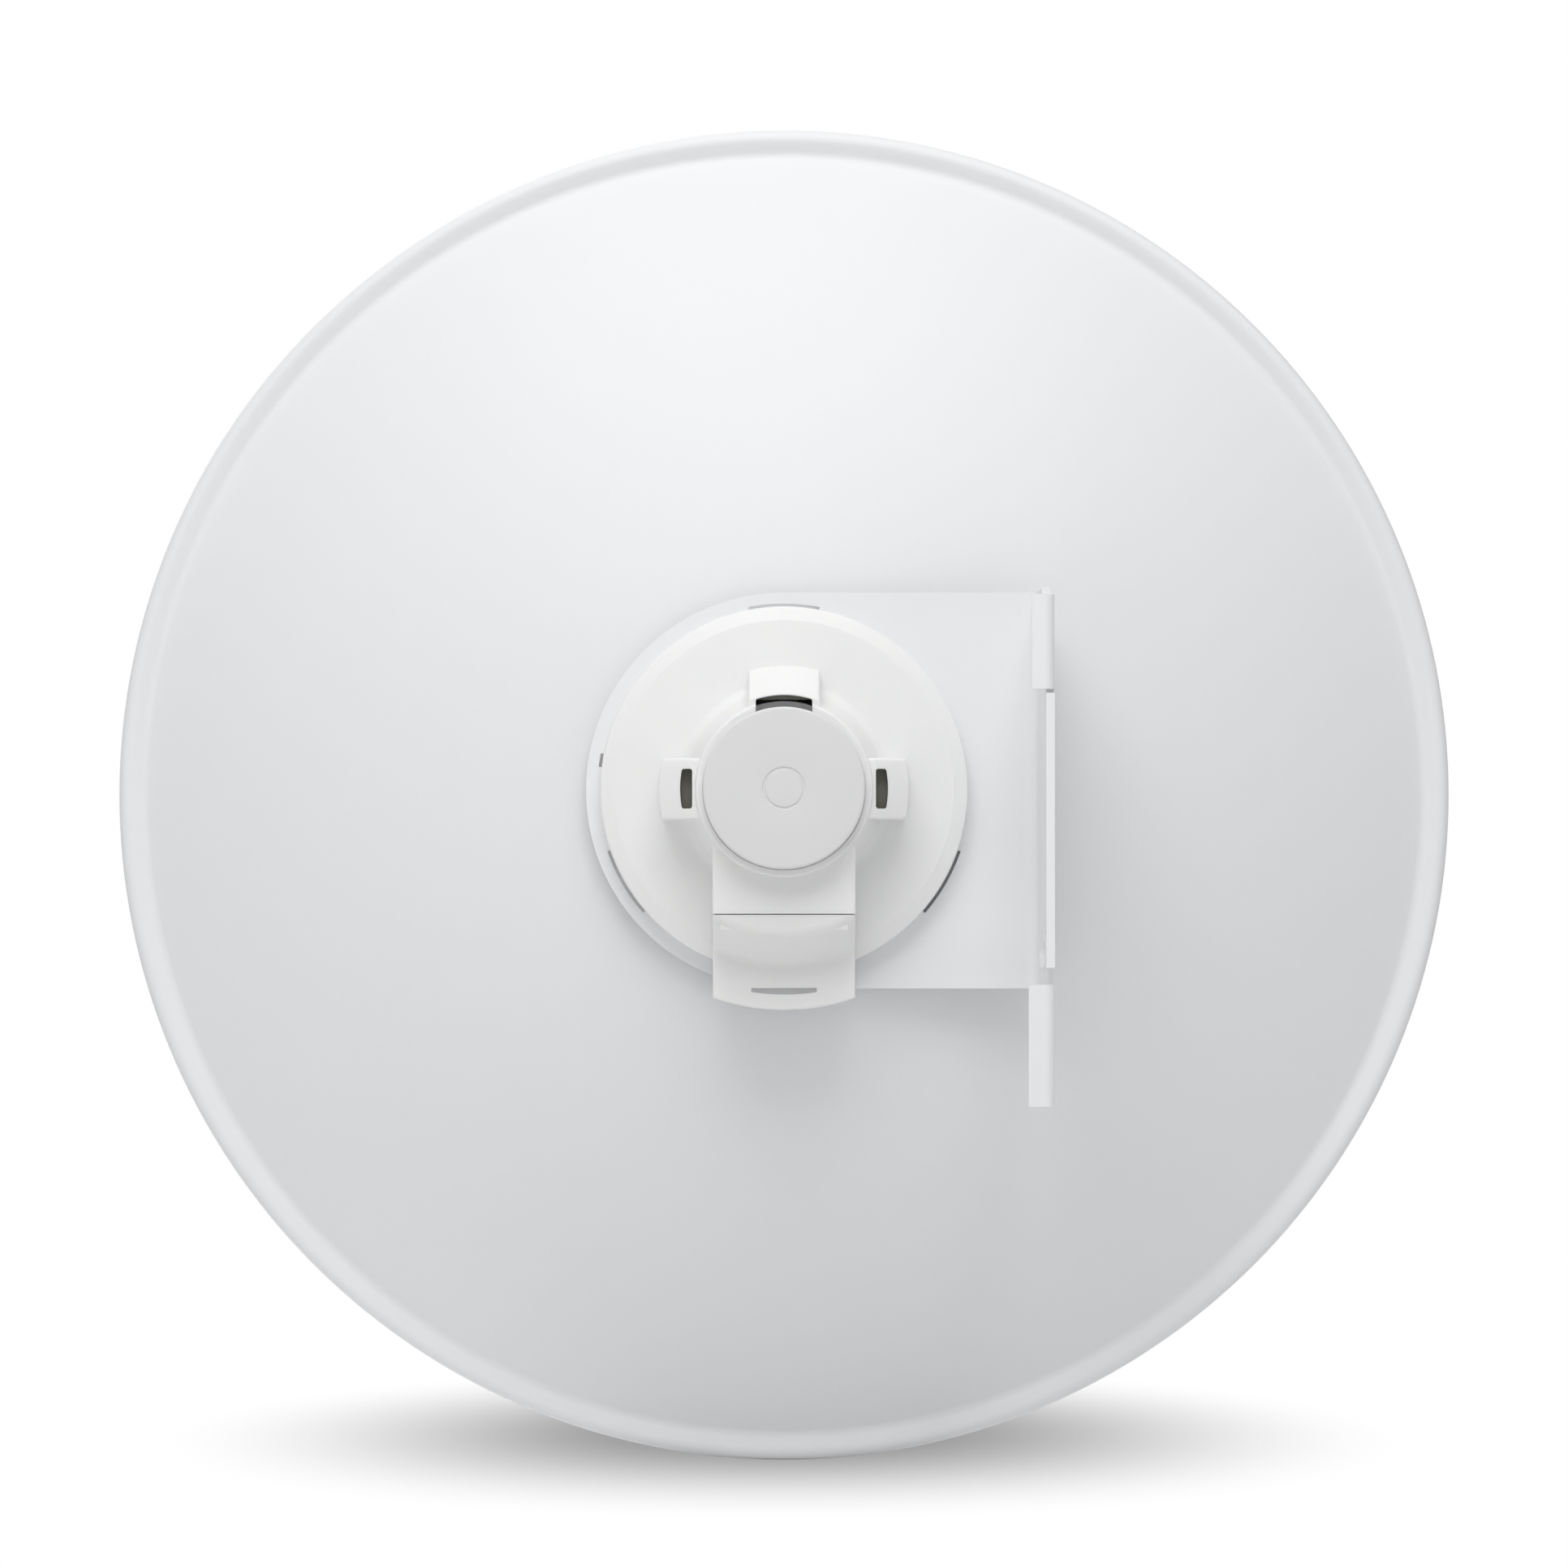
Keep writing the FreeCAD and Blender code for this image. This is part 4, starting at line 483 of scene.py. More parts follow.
class Bench:
    """Modelling steps, taken as by hand."""

    SMOOTH_ANGLE = math.radians(32.0)
    FLAT_ANGLE = math.radians(0.4)
    MERGE = 0.000002
    ON_CIRCLE = 0.03
    LARGE_FACE_WEIGHT = 80

    @staticmethod
    def let_go() -> None:
        """Leaves edit mode and deselects everything."""
        if bpy.context.object is not None and bpy.context.object.mode != "OBJECT":
            bpy.ops.object.mode_set(mode="OBJECT")
        bpy.ops.object.select_all(action="DESELECT")

    @staticmethod
    def take(piece: bpy.types.Object) -> None:
        """Selects one piece alone and makes it active.

        Args:
            piece: the piece.
        """
        Bench.let_go()
        piece.select_set(True)
        bpy.context.view_layer.objects.active = piece

    @staticmethod
    def open_up(piece: bpy.types.Object) -> None:
        """Takes a piece into edit mode with everything selected.

        Args:
            piece: the piece.
        """
        Bench.take(piece)
        bpy.ops.object.mode_set(mode="EDIT")
        bpy.ops.mesh.select_all(action="SELECT")

    @staticmethod
    def trace(name: str, points: Sequence[Vector], closed: bool) -> bpy.types.Object:
        """Draws a line of edges through points, from one vertex that is extruded on and on.

        Args:
            name: the new object's name.
            points: the points, in the frame.
            closed: whether the line comes back to its start.

        Returns:
            The object, left in edit mode with everything selected.
        """
        Bench.let_go()
        bpy.ops.mesh.primitive_plane_add(size=MM, location=points[0])
        piece = bpy.context.object
        piece.name = name
        bpy.ops.object.transform_apply(location=True, rotation=False, scale=False)
        bpy.ops.object.mode_set(mode="EDIT")
        bpy.ops.mesh.select_all(action="SELECT")
        bpy.ops.mesh.merge(type="CENTER")
        last = points[0]
        for point in list(points[1:]) + ([points[0]] if closed else []):
            bpy.ops.mesh.extrude_region_move(TRANSFORM_OT_translate={"value": point - last})
            last = point
        bpy.ops.mesh.select_all(action="SELECT")
        bpy.ops.mesh.remove_doubles(threshold=Bench.MERGE)
        return piece

    @staticmethod
    def turn(
        name: str, profile: Sequence[Vector], centre: Vector, steps: int, closed: bool = True
    ) -> bpy.types.Object:
        """Turns a profile about an axis that points backwards, as on a lathe.

        Args:
            name: the new object's name.
            profile: (radius, height along the axis) points in millimetres.
            centre: the point of the axis where the height is zero.
            steps: how many flats the turn has.
            closed: whether the profile is closed, as for a solid piece.

        Returns:
            The turned piece, smooth shaded, its normals outward.
        """
        points = [centre + UPWARDS * point.x * MM + BACKWARDS * point.y * MM for point in profile]
        piece = Bench.trace(name, points, closed)
        bpy.ops.mesh.spin(steps=steps, angle=math.tau, center=centre, axis=BACKWARDS)
        bpy.ops.mesh.select_all(action="SELECT")
        bpy.ops.mesh.remove_doubles(threshold=Bench.MERGE)
        bpy.ops.mesh.normals_make_consistent(inside=False)
        Bench.let_go()
        Bench.smooth(piece)
        return piece

    @staticmethod
    def plate(name: str, points: Sequence[Vector], rise: Vector) -> bpy.types.Object:
        """Raises a flat outline into a plate.

        Args:
            name: the new object's name.
            points: the outline's points, in the frame.
            rise: how far, and which way, the outline is raised.

        Returns:
            The plate.
        """
        piece = Bench.trace(name, points, closed=True)
        bpy.ops.mesh.edge_face_add()
        bpy.ops.mesh.extrude_region_move(TRANSFORM_OT_translate={"value": rise})
        bpy.ops.mesh.select_all(action="SELECT")
        bpy.ops.mesh.normals_make_consistent(inside=False)
        Bench.let_go()
        return piece

    @staticmethod
    def block(name: str, low: Vector, high: Vector) -> bpy.types.Object:
        """A block between two corners.

        Args:
            name: the new object's name.
            low: its lowest corner.
            high: its highest corner.

        Returns:
            The block.
        """
        Bench.let_go()
        bpy.ops.mesh.primitive_cube_add(size=1.0, location=(low + high) / 2)
        piece = bpy.context.object
        piece.name = name
        piece.scale = high - low
        bpy.ops.object.transform_apply(location=True, rotation=True, scale=True)
        return piece

    @staticmethod
    def soften(piece: bpy.types.Object, width: float, segments: int = 3, angle: float = 30.0) -> None:
        """Rounds a piece's sharp edges with an applied bevel.

        Args:
            piece: the piece.
            width: the bevel's width in millimetres.
            segments: how many runs the rounding has.
            angle: the least angle, in degrees, that counts as sharp.
        """
        Bench.take(piece)
        bevel = piece.modifiers.new("soften", "BEVEL")
        bevel.width = width * MM
        bevel.segments = segments
        bevel.limit_method = "ANGLE"
        bevel.angle_limit = math.radians(angle)
        bevel.harden_normals = False
        bevel.miter_outer = "MITER_ARC"
        bpy.ops.object.modifier_apply(modifier=bevel.name)

    @staticmethod
    def smooth(piece: bpy.types.Object) -> None:
        """Shades a piece smooth, keeping its sharp edges.

        Args:
            piece: the piece.
        """
        Bench.take(piece)
        bpy.ops.object.shade_smooth_by_angle(angle=Bench.SMOOTH_ANGLE)

    @staticmethod
    def keep_crease(piece: bpy.types.Object, radius: float) -> None:
        """Marks the edges that lie on a circle about the boresight as sharp.

        Args:
            piece: the piece, already shaded smooth.
            radius: the circle's radius in millimetres.
        """
        Bench.take(piece)
        bpy.ops.object.mode_set(mode="EDIT")
        bpy.ops.mesh.select_all(action="DESELECT")
        bpy.ops.mesh.select_mode(type="EDGE")
        bpy.ops.object.mode_set(mode="OBJECT")
        reach = [math.hypot(spot.co.x - BORESIGHT.x, spot.co.z - BORESIGHT.z) / MM for spot in piece.data.vertices]
        for edge in piece.data.edges:
            edge.select = all(abs(reach[end] - radius) < Bench.ON_CIRCLE for end in edge.vertices)
        bpy.ops.object.mode_set(mode="EDIT")
        bpy.ops.mesh.mark_sharp()
        bpy.ops.mesh.select_mode(type="VERT")
        Bench.let_go()

    @staticmethod
    def flatten_shading(piece: bpy.types.Object) -> None:
        """Lets the large faces set the shading, so that only the rounded edges turn.

        Args:
            piece: the piece, already shaded smooth.
        """
        Bench.take(piece)
        weighted = piece.modifiers.new("large_faces", "WEIGHTED_NORMAL")
        weighted.keep_sharp = True
        weighted.weight = Bench.LARGE_FACE_WEIGHT
        bpy.ops.object.modifier_apply(modifier=weighted.name)

    @staticmethod
    def copies_round(piece: bpy.types.Object, turns: Sequence[float]) -> list[bpy.types.Object]:
        """Copies a piece to other places round the boresight.

        Args:
            piece: the piece, which is moved to the first place itself.
            turns: the angle of each place, in degrees about the boresight.

        Returns:
            All the pieces, each with its own mesh.
        """
        pieces = [piece]
        for number in range(1, len(turns)):
            twin = bpy.data.objects.new(f"{piece.name}_{number + 1}", piece.data.copy())
            bpy.context.scene.collection.objects.link(twin)
            pieces.append(twin)
        for twin, turn in zip(pieces, turns):
            Bench.open_up(twin)
            bpy.ops.transform.rotate(value=math.radians(turn), orient_axis="Y", center_override=BORESIGHT)
            Bench.let_go()
        return pieces

    @staticmethod
    def cut(piece: bpy.types.Object, tool: bpy.types.Object, operation: str) -> None:
        """Cuts a piece with a tool, or keeps only what lies inside the tool, and takes the tool away.

        Args:
            piece: the piece.
            tool: the tool.
            operation: the Boolean modifier's operation.
        """
        Bench.take(piece)
        boolean = piece.modifiers.new("cut", "BOOLEAN")
        boolean.operation = operation
        boolean.object = tool
        boolean.solver = "EXACT"
        bpy.ops.object.modifier_apply(modifier=boolean.name)
        bpy.data.objects.remove(tool)

    @staticmethod
    def join(piece: bpy.types.Object, others: Sequence[bpy.types.Object]) -> None:
        """Makes several objects one piece.

        Args:
            piece: the object that stays.
            others: the objects that go into it.
        """
        Bench.take(piece)
        for other in others:
            other.select_set(True)
        bpy.ops.object.join()

    @staticmethod
    def copy_of_node(node: str, name: str) -> bpy.types.Object:
        """A merged copy of a CAD node's mesh, its flat faces made whole, ready to be finished.

        Args:
            node: the CAD node.
            name: the new object's name.

        Returns:
            The copy, at the origin.
        """
        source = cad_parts[node]
        piece = bpy.data.objects.new(name, source.data.copy())
        bpy.context.scene.collection.objects.link(piece)
        Bench.take(piece)
        bpy.ops.mesh.customdata_custom_splitnormals_clear()
        Bench.open_up(piece)
        bpy.ops.mesh.remove_doubles(threshold=Bench.MERGE)
        bpy.ops.mesh.dissolve_limited(angle_limit=Bench.FLAT_ANGLE)
        bpy.ops.mesh.select_all(action="SELECT")
        bpy.ops.mesh.normals_make_consistent(inside=False)
        Bench.let_go()
        return piece


# ---------------------------------------------------------------- pieces


@dataclass
class Reflector:
    """The pressed dish with its seat, valley and rolled rim."""

    centre_hole: float = 26.9
    seat: float = 50.0
    step_width: float = 4.0
    step_height: float = 3.0
    focal_length: float = 150.0
    diameter: float = 420.0
    valley_width: float = 2.2
    valley_radius: float = 3.0
    slope_width: float = 2.0
    slope_rise: float = 0.9
    flat_width: float = 2.4
    flat_rise: float = 0.9
    roll_radius: float = 3.0
    skirt: float = 4.0
    sheet: float = 1.2
    seat_edge: float = 1.5
    bowl_steps: int = 40
    valley_steps: int = 8
    roll_steps: int = 12
    turn_steps: int = 256

    def bowl_depth(self, radius: float) -> float:
        """How far ahead of the seat the bowl's back lies at a radius."""
        start = self.seat + self.step_width
        return self.step_height + (radius**2 - start**2) / (4 * self.focal_length)

    def profile(self) -> list[Vector]:
        """The back of the dish, from its centre hole to the foot of its rolled rim.

        Returns:
            (radius, y) points in millimetres.
        """
        outer = self.diameter / 2
        flat_start = outer - self.roll_radius - self.flat_width
        bowl_start = self.seat + self.step_width
        bowl_end = flat_start - self.slope_width - self.valley_width
        points = rounded(
            [Corner(self.centre_hole, 0), Corner(self.seat, 0, self.seat_edge), Corner(bowl_start, -self.step_height)]
        )[:-1]
        for step in range(self.bowl_steps + 1):
            radius = bowl_start + (bowl_end - bowl_start) * step / self.bowl_steps
            points.append(Vector((radius, -self.bowl_depth(radius))))
        heading = -math.atan(bowl_end / (2 * self.focal_length))
        slope = math.atan2(self.slope_rise, self.slope_width)
        centre = points[-1] + Vector((-math.sin(heading), math.cos(heading))) * self.valley_radius
        for step in range(1, self.valley_steps + 1):
            angle = heading + (slope - heading) * step / self.valley_steps
            points.append(centre - Vector((-math.sin(angle), math.cos(angle))) * self.valley_radius)
        floor = points[-1].y + (flat_start - points[-1].x) * math.tan(slope)
        points.append(Vector((flat_start, floor)))
        tilt = math.atan2(self.flat_rise, self.flat_width)
        flat_end = outer - self.roll_radius * (1 + math.sin(tilt))
        foot = Vector((flat_end, floor + (flat_end - flat_start) * math.tan(tilt)))
        roll = foot - Vector((-math.sin(tilt), math.cos(tilt))) * self.roll_radius
        for step in range(self.roll_steps + 1):
            angle = tilt - (tilt + math.pi / 2) * step / self.roll_steps
            points.append(roll + Vector((-math.sin(angle), math.cos(angle))) * self.roll_radius)
        points.append(Vector((outer, roll.y - self.skirt)))
        return points

    def build(self, wardrobe: Wardrobe) -> None:
        """Turns the dish, gives it its thickness and paints it.

        Args:
            wardrobe: the finishes.
        """
        dish = Bench.turn("dish", self.profile(), BORESIGHT, steps=self.turn_steps, closed=False)
        outward = sum(face.normal.y * face.area for face in dish.data.polygons)
        if outward < 0:
            Bench.open_up(dish)
            bpy.ops.mesh.flip_normals()
            Bench.let_go()
        Bench.take(dish)
        wall = dish.modifiers.new("sheet", "SOLIDIFY")
        wall.thickness = self.sheet * MM
        wall.offset = -1.0
        wall.use_even_offset = True
        bpy.ops.object.modifier_apply(modifier=wall.name)
        Bench.smooth(dish)
        wardrobe.dress(dish, "reflector_paint")
        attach(dish, "antenna")
        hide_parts("reflector")
        LOG.info("dish: %d faces", len(dish.data.polygons))


@dataclass
class TailCap:
    """The round cap at the feed's rear end, with its ring mark."""

    radius: float = 24.35
    face_y: float = 47.0
    skirt_y: float = 36.2
    edge: float = 0.9
    ring_radius: float = 6.0
    ring_line: float = 0.9
    ring_depth: float = 0.35
    ring_edge: float = 0.2
    ring_foot: float = 0.08
    ring_narrowing: float = 0.6
    skirt_edge: float = 0.3
    inner_edge: float = 0.5
    bore: float = 21.8
    face: float = 2.2

    def build(self, wardrobe: Wardrobe) -> None:
        """Turns the cap and dresses it.

        Args:
            wardrobe: the finishes.
        """
        half = self.ring_line / 2
        foot = half * self.ring_narrowing
        floor = self.face_y - self.ring_depth
        profile = rounded(
            [
                Corner(0.0, self.face_y),
                Corner(self.ring_radius - half, self.face_y, self.ring_edge),
                Corner(self.ring_radius - foot, floor, self.ring_foot),
                Corner(self.ring_radius + foot, floor, self.ring_foot),
                Corner(self.ring_radius + half, self.face_y, self.ring_edge),
                Corner(self.radius, self.face_y, self.edge),
                Corner(self.radius, self.skirt_y, self.skirt_edge),
                Corner(self.bore, self.skirt_y, self.skirt_edge),
                Corner(self.bore, self.face_y - self.face, self.inner_edge),
                Corner(0.0, self.face_y - self.face),
            ]
        )
        cap = Bench.turn("cap_shell", profile, BORESIGHT, steps=144, closed=False)
        wardrobe.dress(cap, "cap_plastic")
        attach(cap, "feed")
        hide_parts("tail_cap")
        LOG.info("tail cap: %d faces", len(cap.data.polygons))


@dataclass
class SoftenedNode:
    """A CAD node whose merged copy has its sharp edges rounded like the real moulding or pressing."""

    node: str
    name: str
    slot: str
    body: str
    width: float
    segments: int = 2
    angle: float = 35.0
    crease: float = 0.0

    def build(self, wardrobe: Wardrobe) -> None:
        """Rounds the copy's edges and dresses it.

        Args:
            wardrobe: the finishes.
        """
        piece = Bench.copy_of_node(self.node, self.name)
        Bench.soften(piece, self.width, self.segments, self.angle)
        Bench.smooth(piece)
        if self.crease:
            Bench.keep_crease(piece, self.crease)
        Bench.flatten_shading(piece)
        wardrobe.dress(piece, self.slot)
        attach(piece, self.body)
        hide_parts(self.node)
        LOG.info("%s: %d faces", self.name, len(piece.data.polygons))


SOFTENED = [
    SoftenedNode("mount_bracket", "bracket_sheet", "bracket_paint", "antenna", 0.45),
    SoftenedNode("port_cover", "cover_shell", "cover_plastic", "port_cover", 0.25),
    SoftenedNode("rear_housing", "housing_shell", "housing_plastic", "antenna", 0.25, crease=51.7),
    SoftenedNode("feed_tube", "feed_body", "feed_plastic", "feed", 0.2),
]


@dataclass
class Fixings:
    """The carriage bolts, washers and nuts that hold the dish and the bracket's plate together."""

    circle: float = 38.75
    turns: tuple[float, ...] = (45.0, 135.0, 225.0, 315.0)
    head_radius: float = 6.5
    head_height: float = 3.0
    sheet: float = 1.2
    neck: float = 6.0
    neck_length: float = 3.0
    shank: float = 3.0
    pitch: float = 1.0
    thread: float = 0.35
    thread_ends: float = 0.6
    shank_end: float = 9.7
    shank_bevel: float = 0.5
    dome_steps: int = 10
    head_rim: float = 0.25
    head_tuck: float = 0.2
    neck_edge: float = 0.3
    washer_y: float = 2.5
    washer_radius: float = 6.2
    washer_thickness: float = 1.4
    nut_flats: float = 10.0
    nut_height: float = 5.0
    nut_bevel: float = 0.5
    nut_play: float = 0.02
    nut_face_share: float = 0.97
    chamfer_angle: float = 30.0
    chamfer_reach: float = 1.0

    def spot(self) -> Vector:
        """Where the first bolt's axis meets the plate's front, before it is turned to its place."""
        return place(0.0, 0.0, self.circle)

    def bolt(self) -> bpy.types.Object:
        """A carriage bolt: a domed head, a square neck and a threaded shank.

        Returns:
            The bolt, above the boresight.
        """
        seat = -self.sheet
        top = seat - self.head_height
        sphere = (self.head_radius**2 + self.head_height**2) / (2 * self.head_height)
        sweep = math.asin(self.head_radius / sphere)
        angles = [sweep * step / self.dome_steps for step in range(self.dome_steps + 1)]
        profile = [Vector((sphere * math.sin(angle), top + sphere * (1 - math.cos(angle)))) for angle in angles]
        profile[-1].y -= self.head_rim
        profile += [Vector((self.head_radius - self.head_tuck, seat)), Vector((self.shank, seat))]
        start = seat + self.neck_length
        turns = int((self.shank_end - start - self.thread_ends) / self.pitch)
        for number in range(turns):
            low = start + number * self.pitch
            profile.append(Vector((self.shank, low + self.pitch * 0.1)))
            profile.append(Vector((self.shank - self.thread, low + self.pitch * 0.5)))
            profile.append(Vector((self.shank, low + self.pitch * 0.9)))
        profile.append(Vector((self.shank, self.shank_end - self.shank_bevel)))
        profile.append(Vector((self.shank - self.shank_bevel, self.shank_end)))
        profile.append(Vector((0.0, self.shank_end)))
        bolt = Bench.turn("carriage_bolt", profile, self.spot(), steps=48, closed=False)
        half = self.neck / 2
        low = self.spot() + Vector((-half, seat, -half)) * MM
        high = self.spot() + Vector((half, seat + self.neck_length, half)) * MM
        neck = Bench.block("neck", low, high)
        Bench.soften(neck, self.neck_edge, 2)
        Bench.join(bolt, [neck])
        Bench.smooth(bolt)
        return bolt

    def washer(self) -> bpy.types.Object:
        """A stamped washer, its rear edge rolled by the punch.

        Returns:
            The washer, above the boresight.
        """
        bore = self.shank + 0.2
        rear = self.washer_y + self.washer_thickness
        corners = [
            Corner(bore, self.washer_y, 0.1),
            Corner(self.washer_radius, self.washer_y, 0.15),
            Corner(self.washer_radius, rear, 0.35),
            Corner(bore, rear, 0.25),
        ]
        return Bench.turn("washer", rounded(corners, 4, closed=True), self.spot(), steps=64)

    def nut(self) -> bpy.types.Object:
        """A hexagon nut, chamfered at both faces.

        Returns:
            The nut, above the boresight.
        """
        front = self.washer_y + self.washer_thickness
        reach = self.nut_flats / math.sqrt(3)
        sides = [math.tau * side / 6 for side in range(6)]
        corners = [
            self.spot() + Vector((reach * math.cos(side), front, reach * math.sin(side))) * MM for side in sides
        ]
        nut = Bench.plate("hexagon_nut", corners, Vector((0, self.nut_height, 0)) * MM)
        flat = self.nut_flats / 2 * self.nut_face_share
        wide = reach + self.chamfer_reach
        slope = (wide - flat) * math.tan(math.radians(self.chamfer_angle))
        rear = front + self.nut_height
        bore = self.shank + self.nut_play
        shape = [
            Corner(bore + self.nut_bevel, front),
            Corner(flat, front),
            Corner(wide, front + slope),
            Corner(wide, rear - slope),
            Corner(flat, rear),
            Corner(bore + self.nut_bevel, rear),
            Corner(bore, rear - self.nut_bevel),
            Corner(bore, front + self.nut_bevel),
        ]
        tool = Bench.turn("chamfers", rounded(shape, closed=True), self.spot(), steps=72)
        Bench.cut(nut, tool, "INTERSECT")
        Bench.smooth(nut)
        return nut

    def build(self, wardrobe: Wardrobe) -> None:
        """Makes each kind once and copies it round the boresight.

        Args:
            wardrobe: the finishes.
        """
        kinds = (
            (self.bolt(), "reflector_bolts"),
            (self.washer(), "reflector_washers"),
            (self.nut(), "reflector_nuts"),
        )
        for first, node in kinds:
            for piece in Bench.copies_round(first, self.turns):
                wardrobe.dress(piece, "stainless_steel")
                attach(piece, "antenna")
                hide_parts(node)
            LOG.info("%s: %d faces each", node, len(first.data.polygons))


@dataclass
class FeedTip:
    """The moulded cap over the feed's front end."""

    socket: float = 21.4
    rear: float = -144.0
    wall: float = 2.2
    flare: float = 8.0
    radius: float = 30.0
    edge: float = 5.0
    front: float = -194.0
    dome: float = 2.5
    tube_front: float = -150.0
    ledge_rear: float = -183.3
    ledge: float = 2.0
    parting: float = -178.0
    groove: float = 0.3

    def profile(self) -> list[Vector]:
        """The cap's section, with the fine parting groove round its side.

        Returns:
            (radius, y) points in millimetres.
        """
        flare_end = self.rear - self.flare
        inner = self.radius - self.wall
        inner_edge = self.edge - self.wall
        return rounded(
            [
                Corner(self.socket, self.rear, 0.2),
                Corner(self.socket + self.wall, self.rear, self.wall / 3),
                Corner(self.radius, flare_end, self.edge),
                Corner(self.radius, self.parting + self.groove, 0.1),
                Corner(self.radius - self.groove, self.parting, 0.1),
                Corner(self.radius, self.parting - self.groove, 0.1),
                Corner(self.radius, self.front + self.dome, self.edge),
                Corner(0.0, self.front),
                Corner(0.0, self.front + self.wall),
                Corner(inner, self.front + self.dome + self.wall, inner_edge * 0.6),
                Corner(inner, self.ledge_rear - self.ledge),
                Corner(inner - self.ledge, self.ledge_rear - self.ledge, 0.2),
                Corner(inner - self.ledge, self.ledge_rear, 0.2),
                Corner(inner, self.ledge_rear),
                Corner(inner, flare_end - self.wall / 2, inner_edge),
                Corner(self.socket, self.tube_front, 0.4),
                Corner(self.socket, self.rear, 0.2),
            ]
        )

    def build(self, wardrobe: Wardrobe) -> None:
        """Turns the cap and dresses it.

        Args:
            wardrobe: the finishes.
        """
        tip = Bench.turn("feed_cap", self.profile(), BORESIGHT, steps=128, closed=False)
        wardrobe.dress(tip, "feed_plastic")
        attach(tip, "feed")
        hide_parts("feed_tip")
        LOG.info("feed cap: %d faces", len(tip.data.polygons))


@dataclass
class PocketShadowSheets:
    """Dark sheets just inside the windows of the latch hoods: painted shade that stands in for the shadow deep in the
    hoods' pockets.
    """

    near: float = 26.9
    far: float = 32.2
    rear: float = 29.4
    half_width: float = 6.8
    top_far: float = 30.4
    top_rear: float = 30.6
    top_half_width: float = 8.4
    gauge: float = 1.0

    def spans(self) -> dict[str, tuple[Vector, Vector]]:
        """The lowest and highest corner of each dark sheet, by its name."""
        low_y = self.rear - self.gauge
        top_y = self.top_rear - self.gauge
        half = self.half_width
        return {
            "shadow_sheet_left": (place(self.near, low_y, -half), place(self.far, self.rear, half)),
            "shadow_sheet_right": (place(-self.far, low_y, -half), place(-self.near, self.rear, half)),
            "shadow_sheet_top": (
                place(-self.top_half_width, top_y, self.near),
                place(self.top_half_width, self.top_rear, self.top_far),
            ),
        }

    def build(self, wardrobe: Wardrobe) -> None:
        """Makes one dark sheet behind each window, as painted shade.

        Args:
            wardrobe: the finishes.
        """
        for name, (low, high) in self.spans().items():
            piece = Bench.block(name, low, high)
            Bench.soften(piece, 0.2, 2)
            Bench.smooth(piece)
            wardrobe.dress(piece, "shade_plastic")
            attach(piece, "antenna")
            LOG.info("%s: behind its window", name)


@dataclass(frozen=True)
class Part:
    """A small part soldered on the radio board: its middle along and across the board, and its size."""

    name: str
    along: float
    across: float
    length: float
    width: float
    height: float
    slot: str


@dataclass
class BoardParts:
    """What stands on the radio board beside the shield, and the jack's contacts."""

    board_side: float = -7.4
    parts: tuple[Part, ...] = (
        Part("network_chip", -15.0, 1.5, 9.0, 9.0, 1.1, "jack_plastic"),
        Part("crystal", -15.0, -7.2, 5.0, 3.2, 0.9, "tinned_steel"),
        Part("line_transformer", 3.0, -7.0, 13.0, 9.4, 5.6, "jack_plastic"),
        Part("power_coil", 3.5, 5.4, 7.0, 7.0, 4.2, "jack_plastic"),
        Part("regulator", -6.5, 8.0, 4.0, 4.4, 1.2, "jack_plastic"),
    )
    contact_count: int = 8
    contact_pitch: float = 1.02
    contact_width: float = 0.42
    contact_gauge: float = 0.3
    contact_length: float = 8.0
    jack_floor: float = 1.7
    jack_lip: float = 2.0

    def contacts(self, wardrobe: Wardrobe) -> None:
        """Lays the sprung contacts side by side on the jack's floor.

        Args:
            wardrobe: the finishes.
        """
        low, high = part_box("lan_jack")
        middle = (low.y + high.y) / 2
        strips = []
        for number in range(self.contact_count):
            y = middle + (number - (self.contact_count - 1) / 2) * self.contact_pitch * MM
            foot = Vector((low.x + self.jack_floor * MM, y - self.contact_width / 2 * MM, low.z + self.jack_lip * MM))
            size = Vector((self.contact_gauge, self.contact_width, self.contact_length)) * MM
            strips.append(Bench.block("jack_contacts", foot, foot + size))
        Bench.join(strips[0], strips[1:])
        wardrobe.dress(strips[0], "contact_gold")
        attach(strips[0], "feed")
        LOG.info("jack contacts: %d", self.contact_count)

    def build(self, wardrobe: Wardrobe) -> None:
        """Stands each part on the board.

        Args:
            wardrobe: the finishes.
        """
        for part in self.parts:
            low = place(self.board_side, part.along - part.length / 2, part.across - part.width / 2)
            high = low + Vector((part.height, part.length, part.width)) * MM
            piece = Bench.block(part.name, low, high)
            Bench.soften(piece, 0.25, 2)
            Bench.smooth(piece)
            wardrobe.dress(piece, part.slot)
            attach(piece, "feed")
            LOG.info("%s: on the board", part.name)
        self.contacts(wardrobe)


# ---------------------------------------------------------------- studio


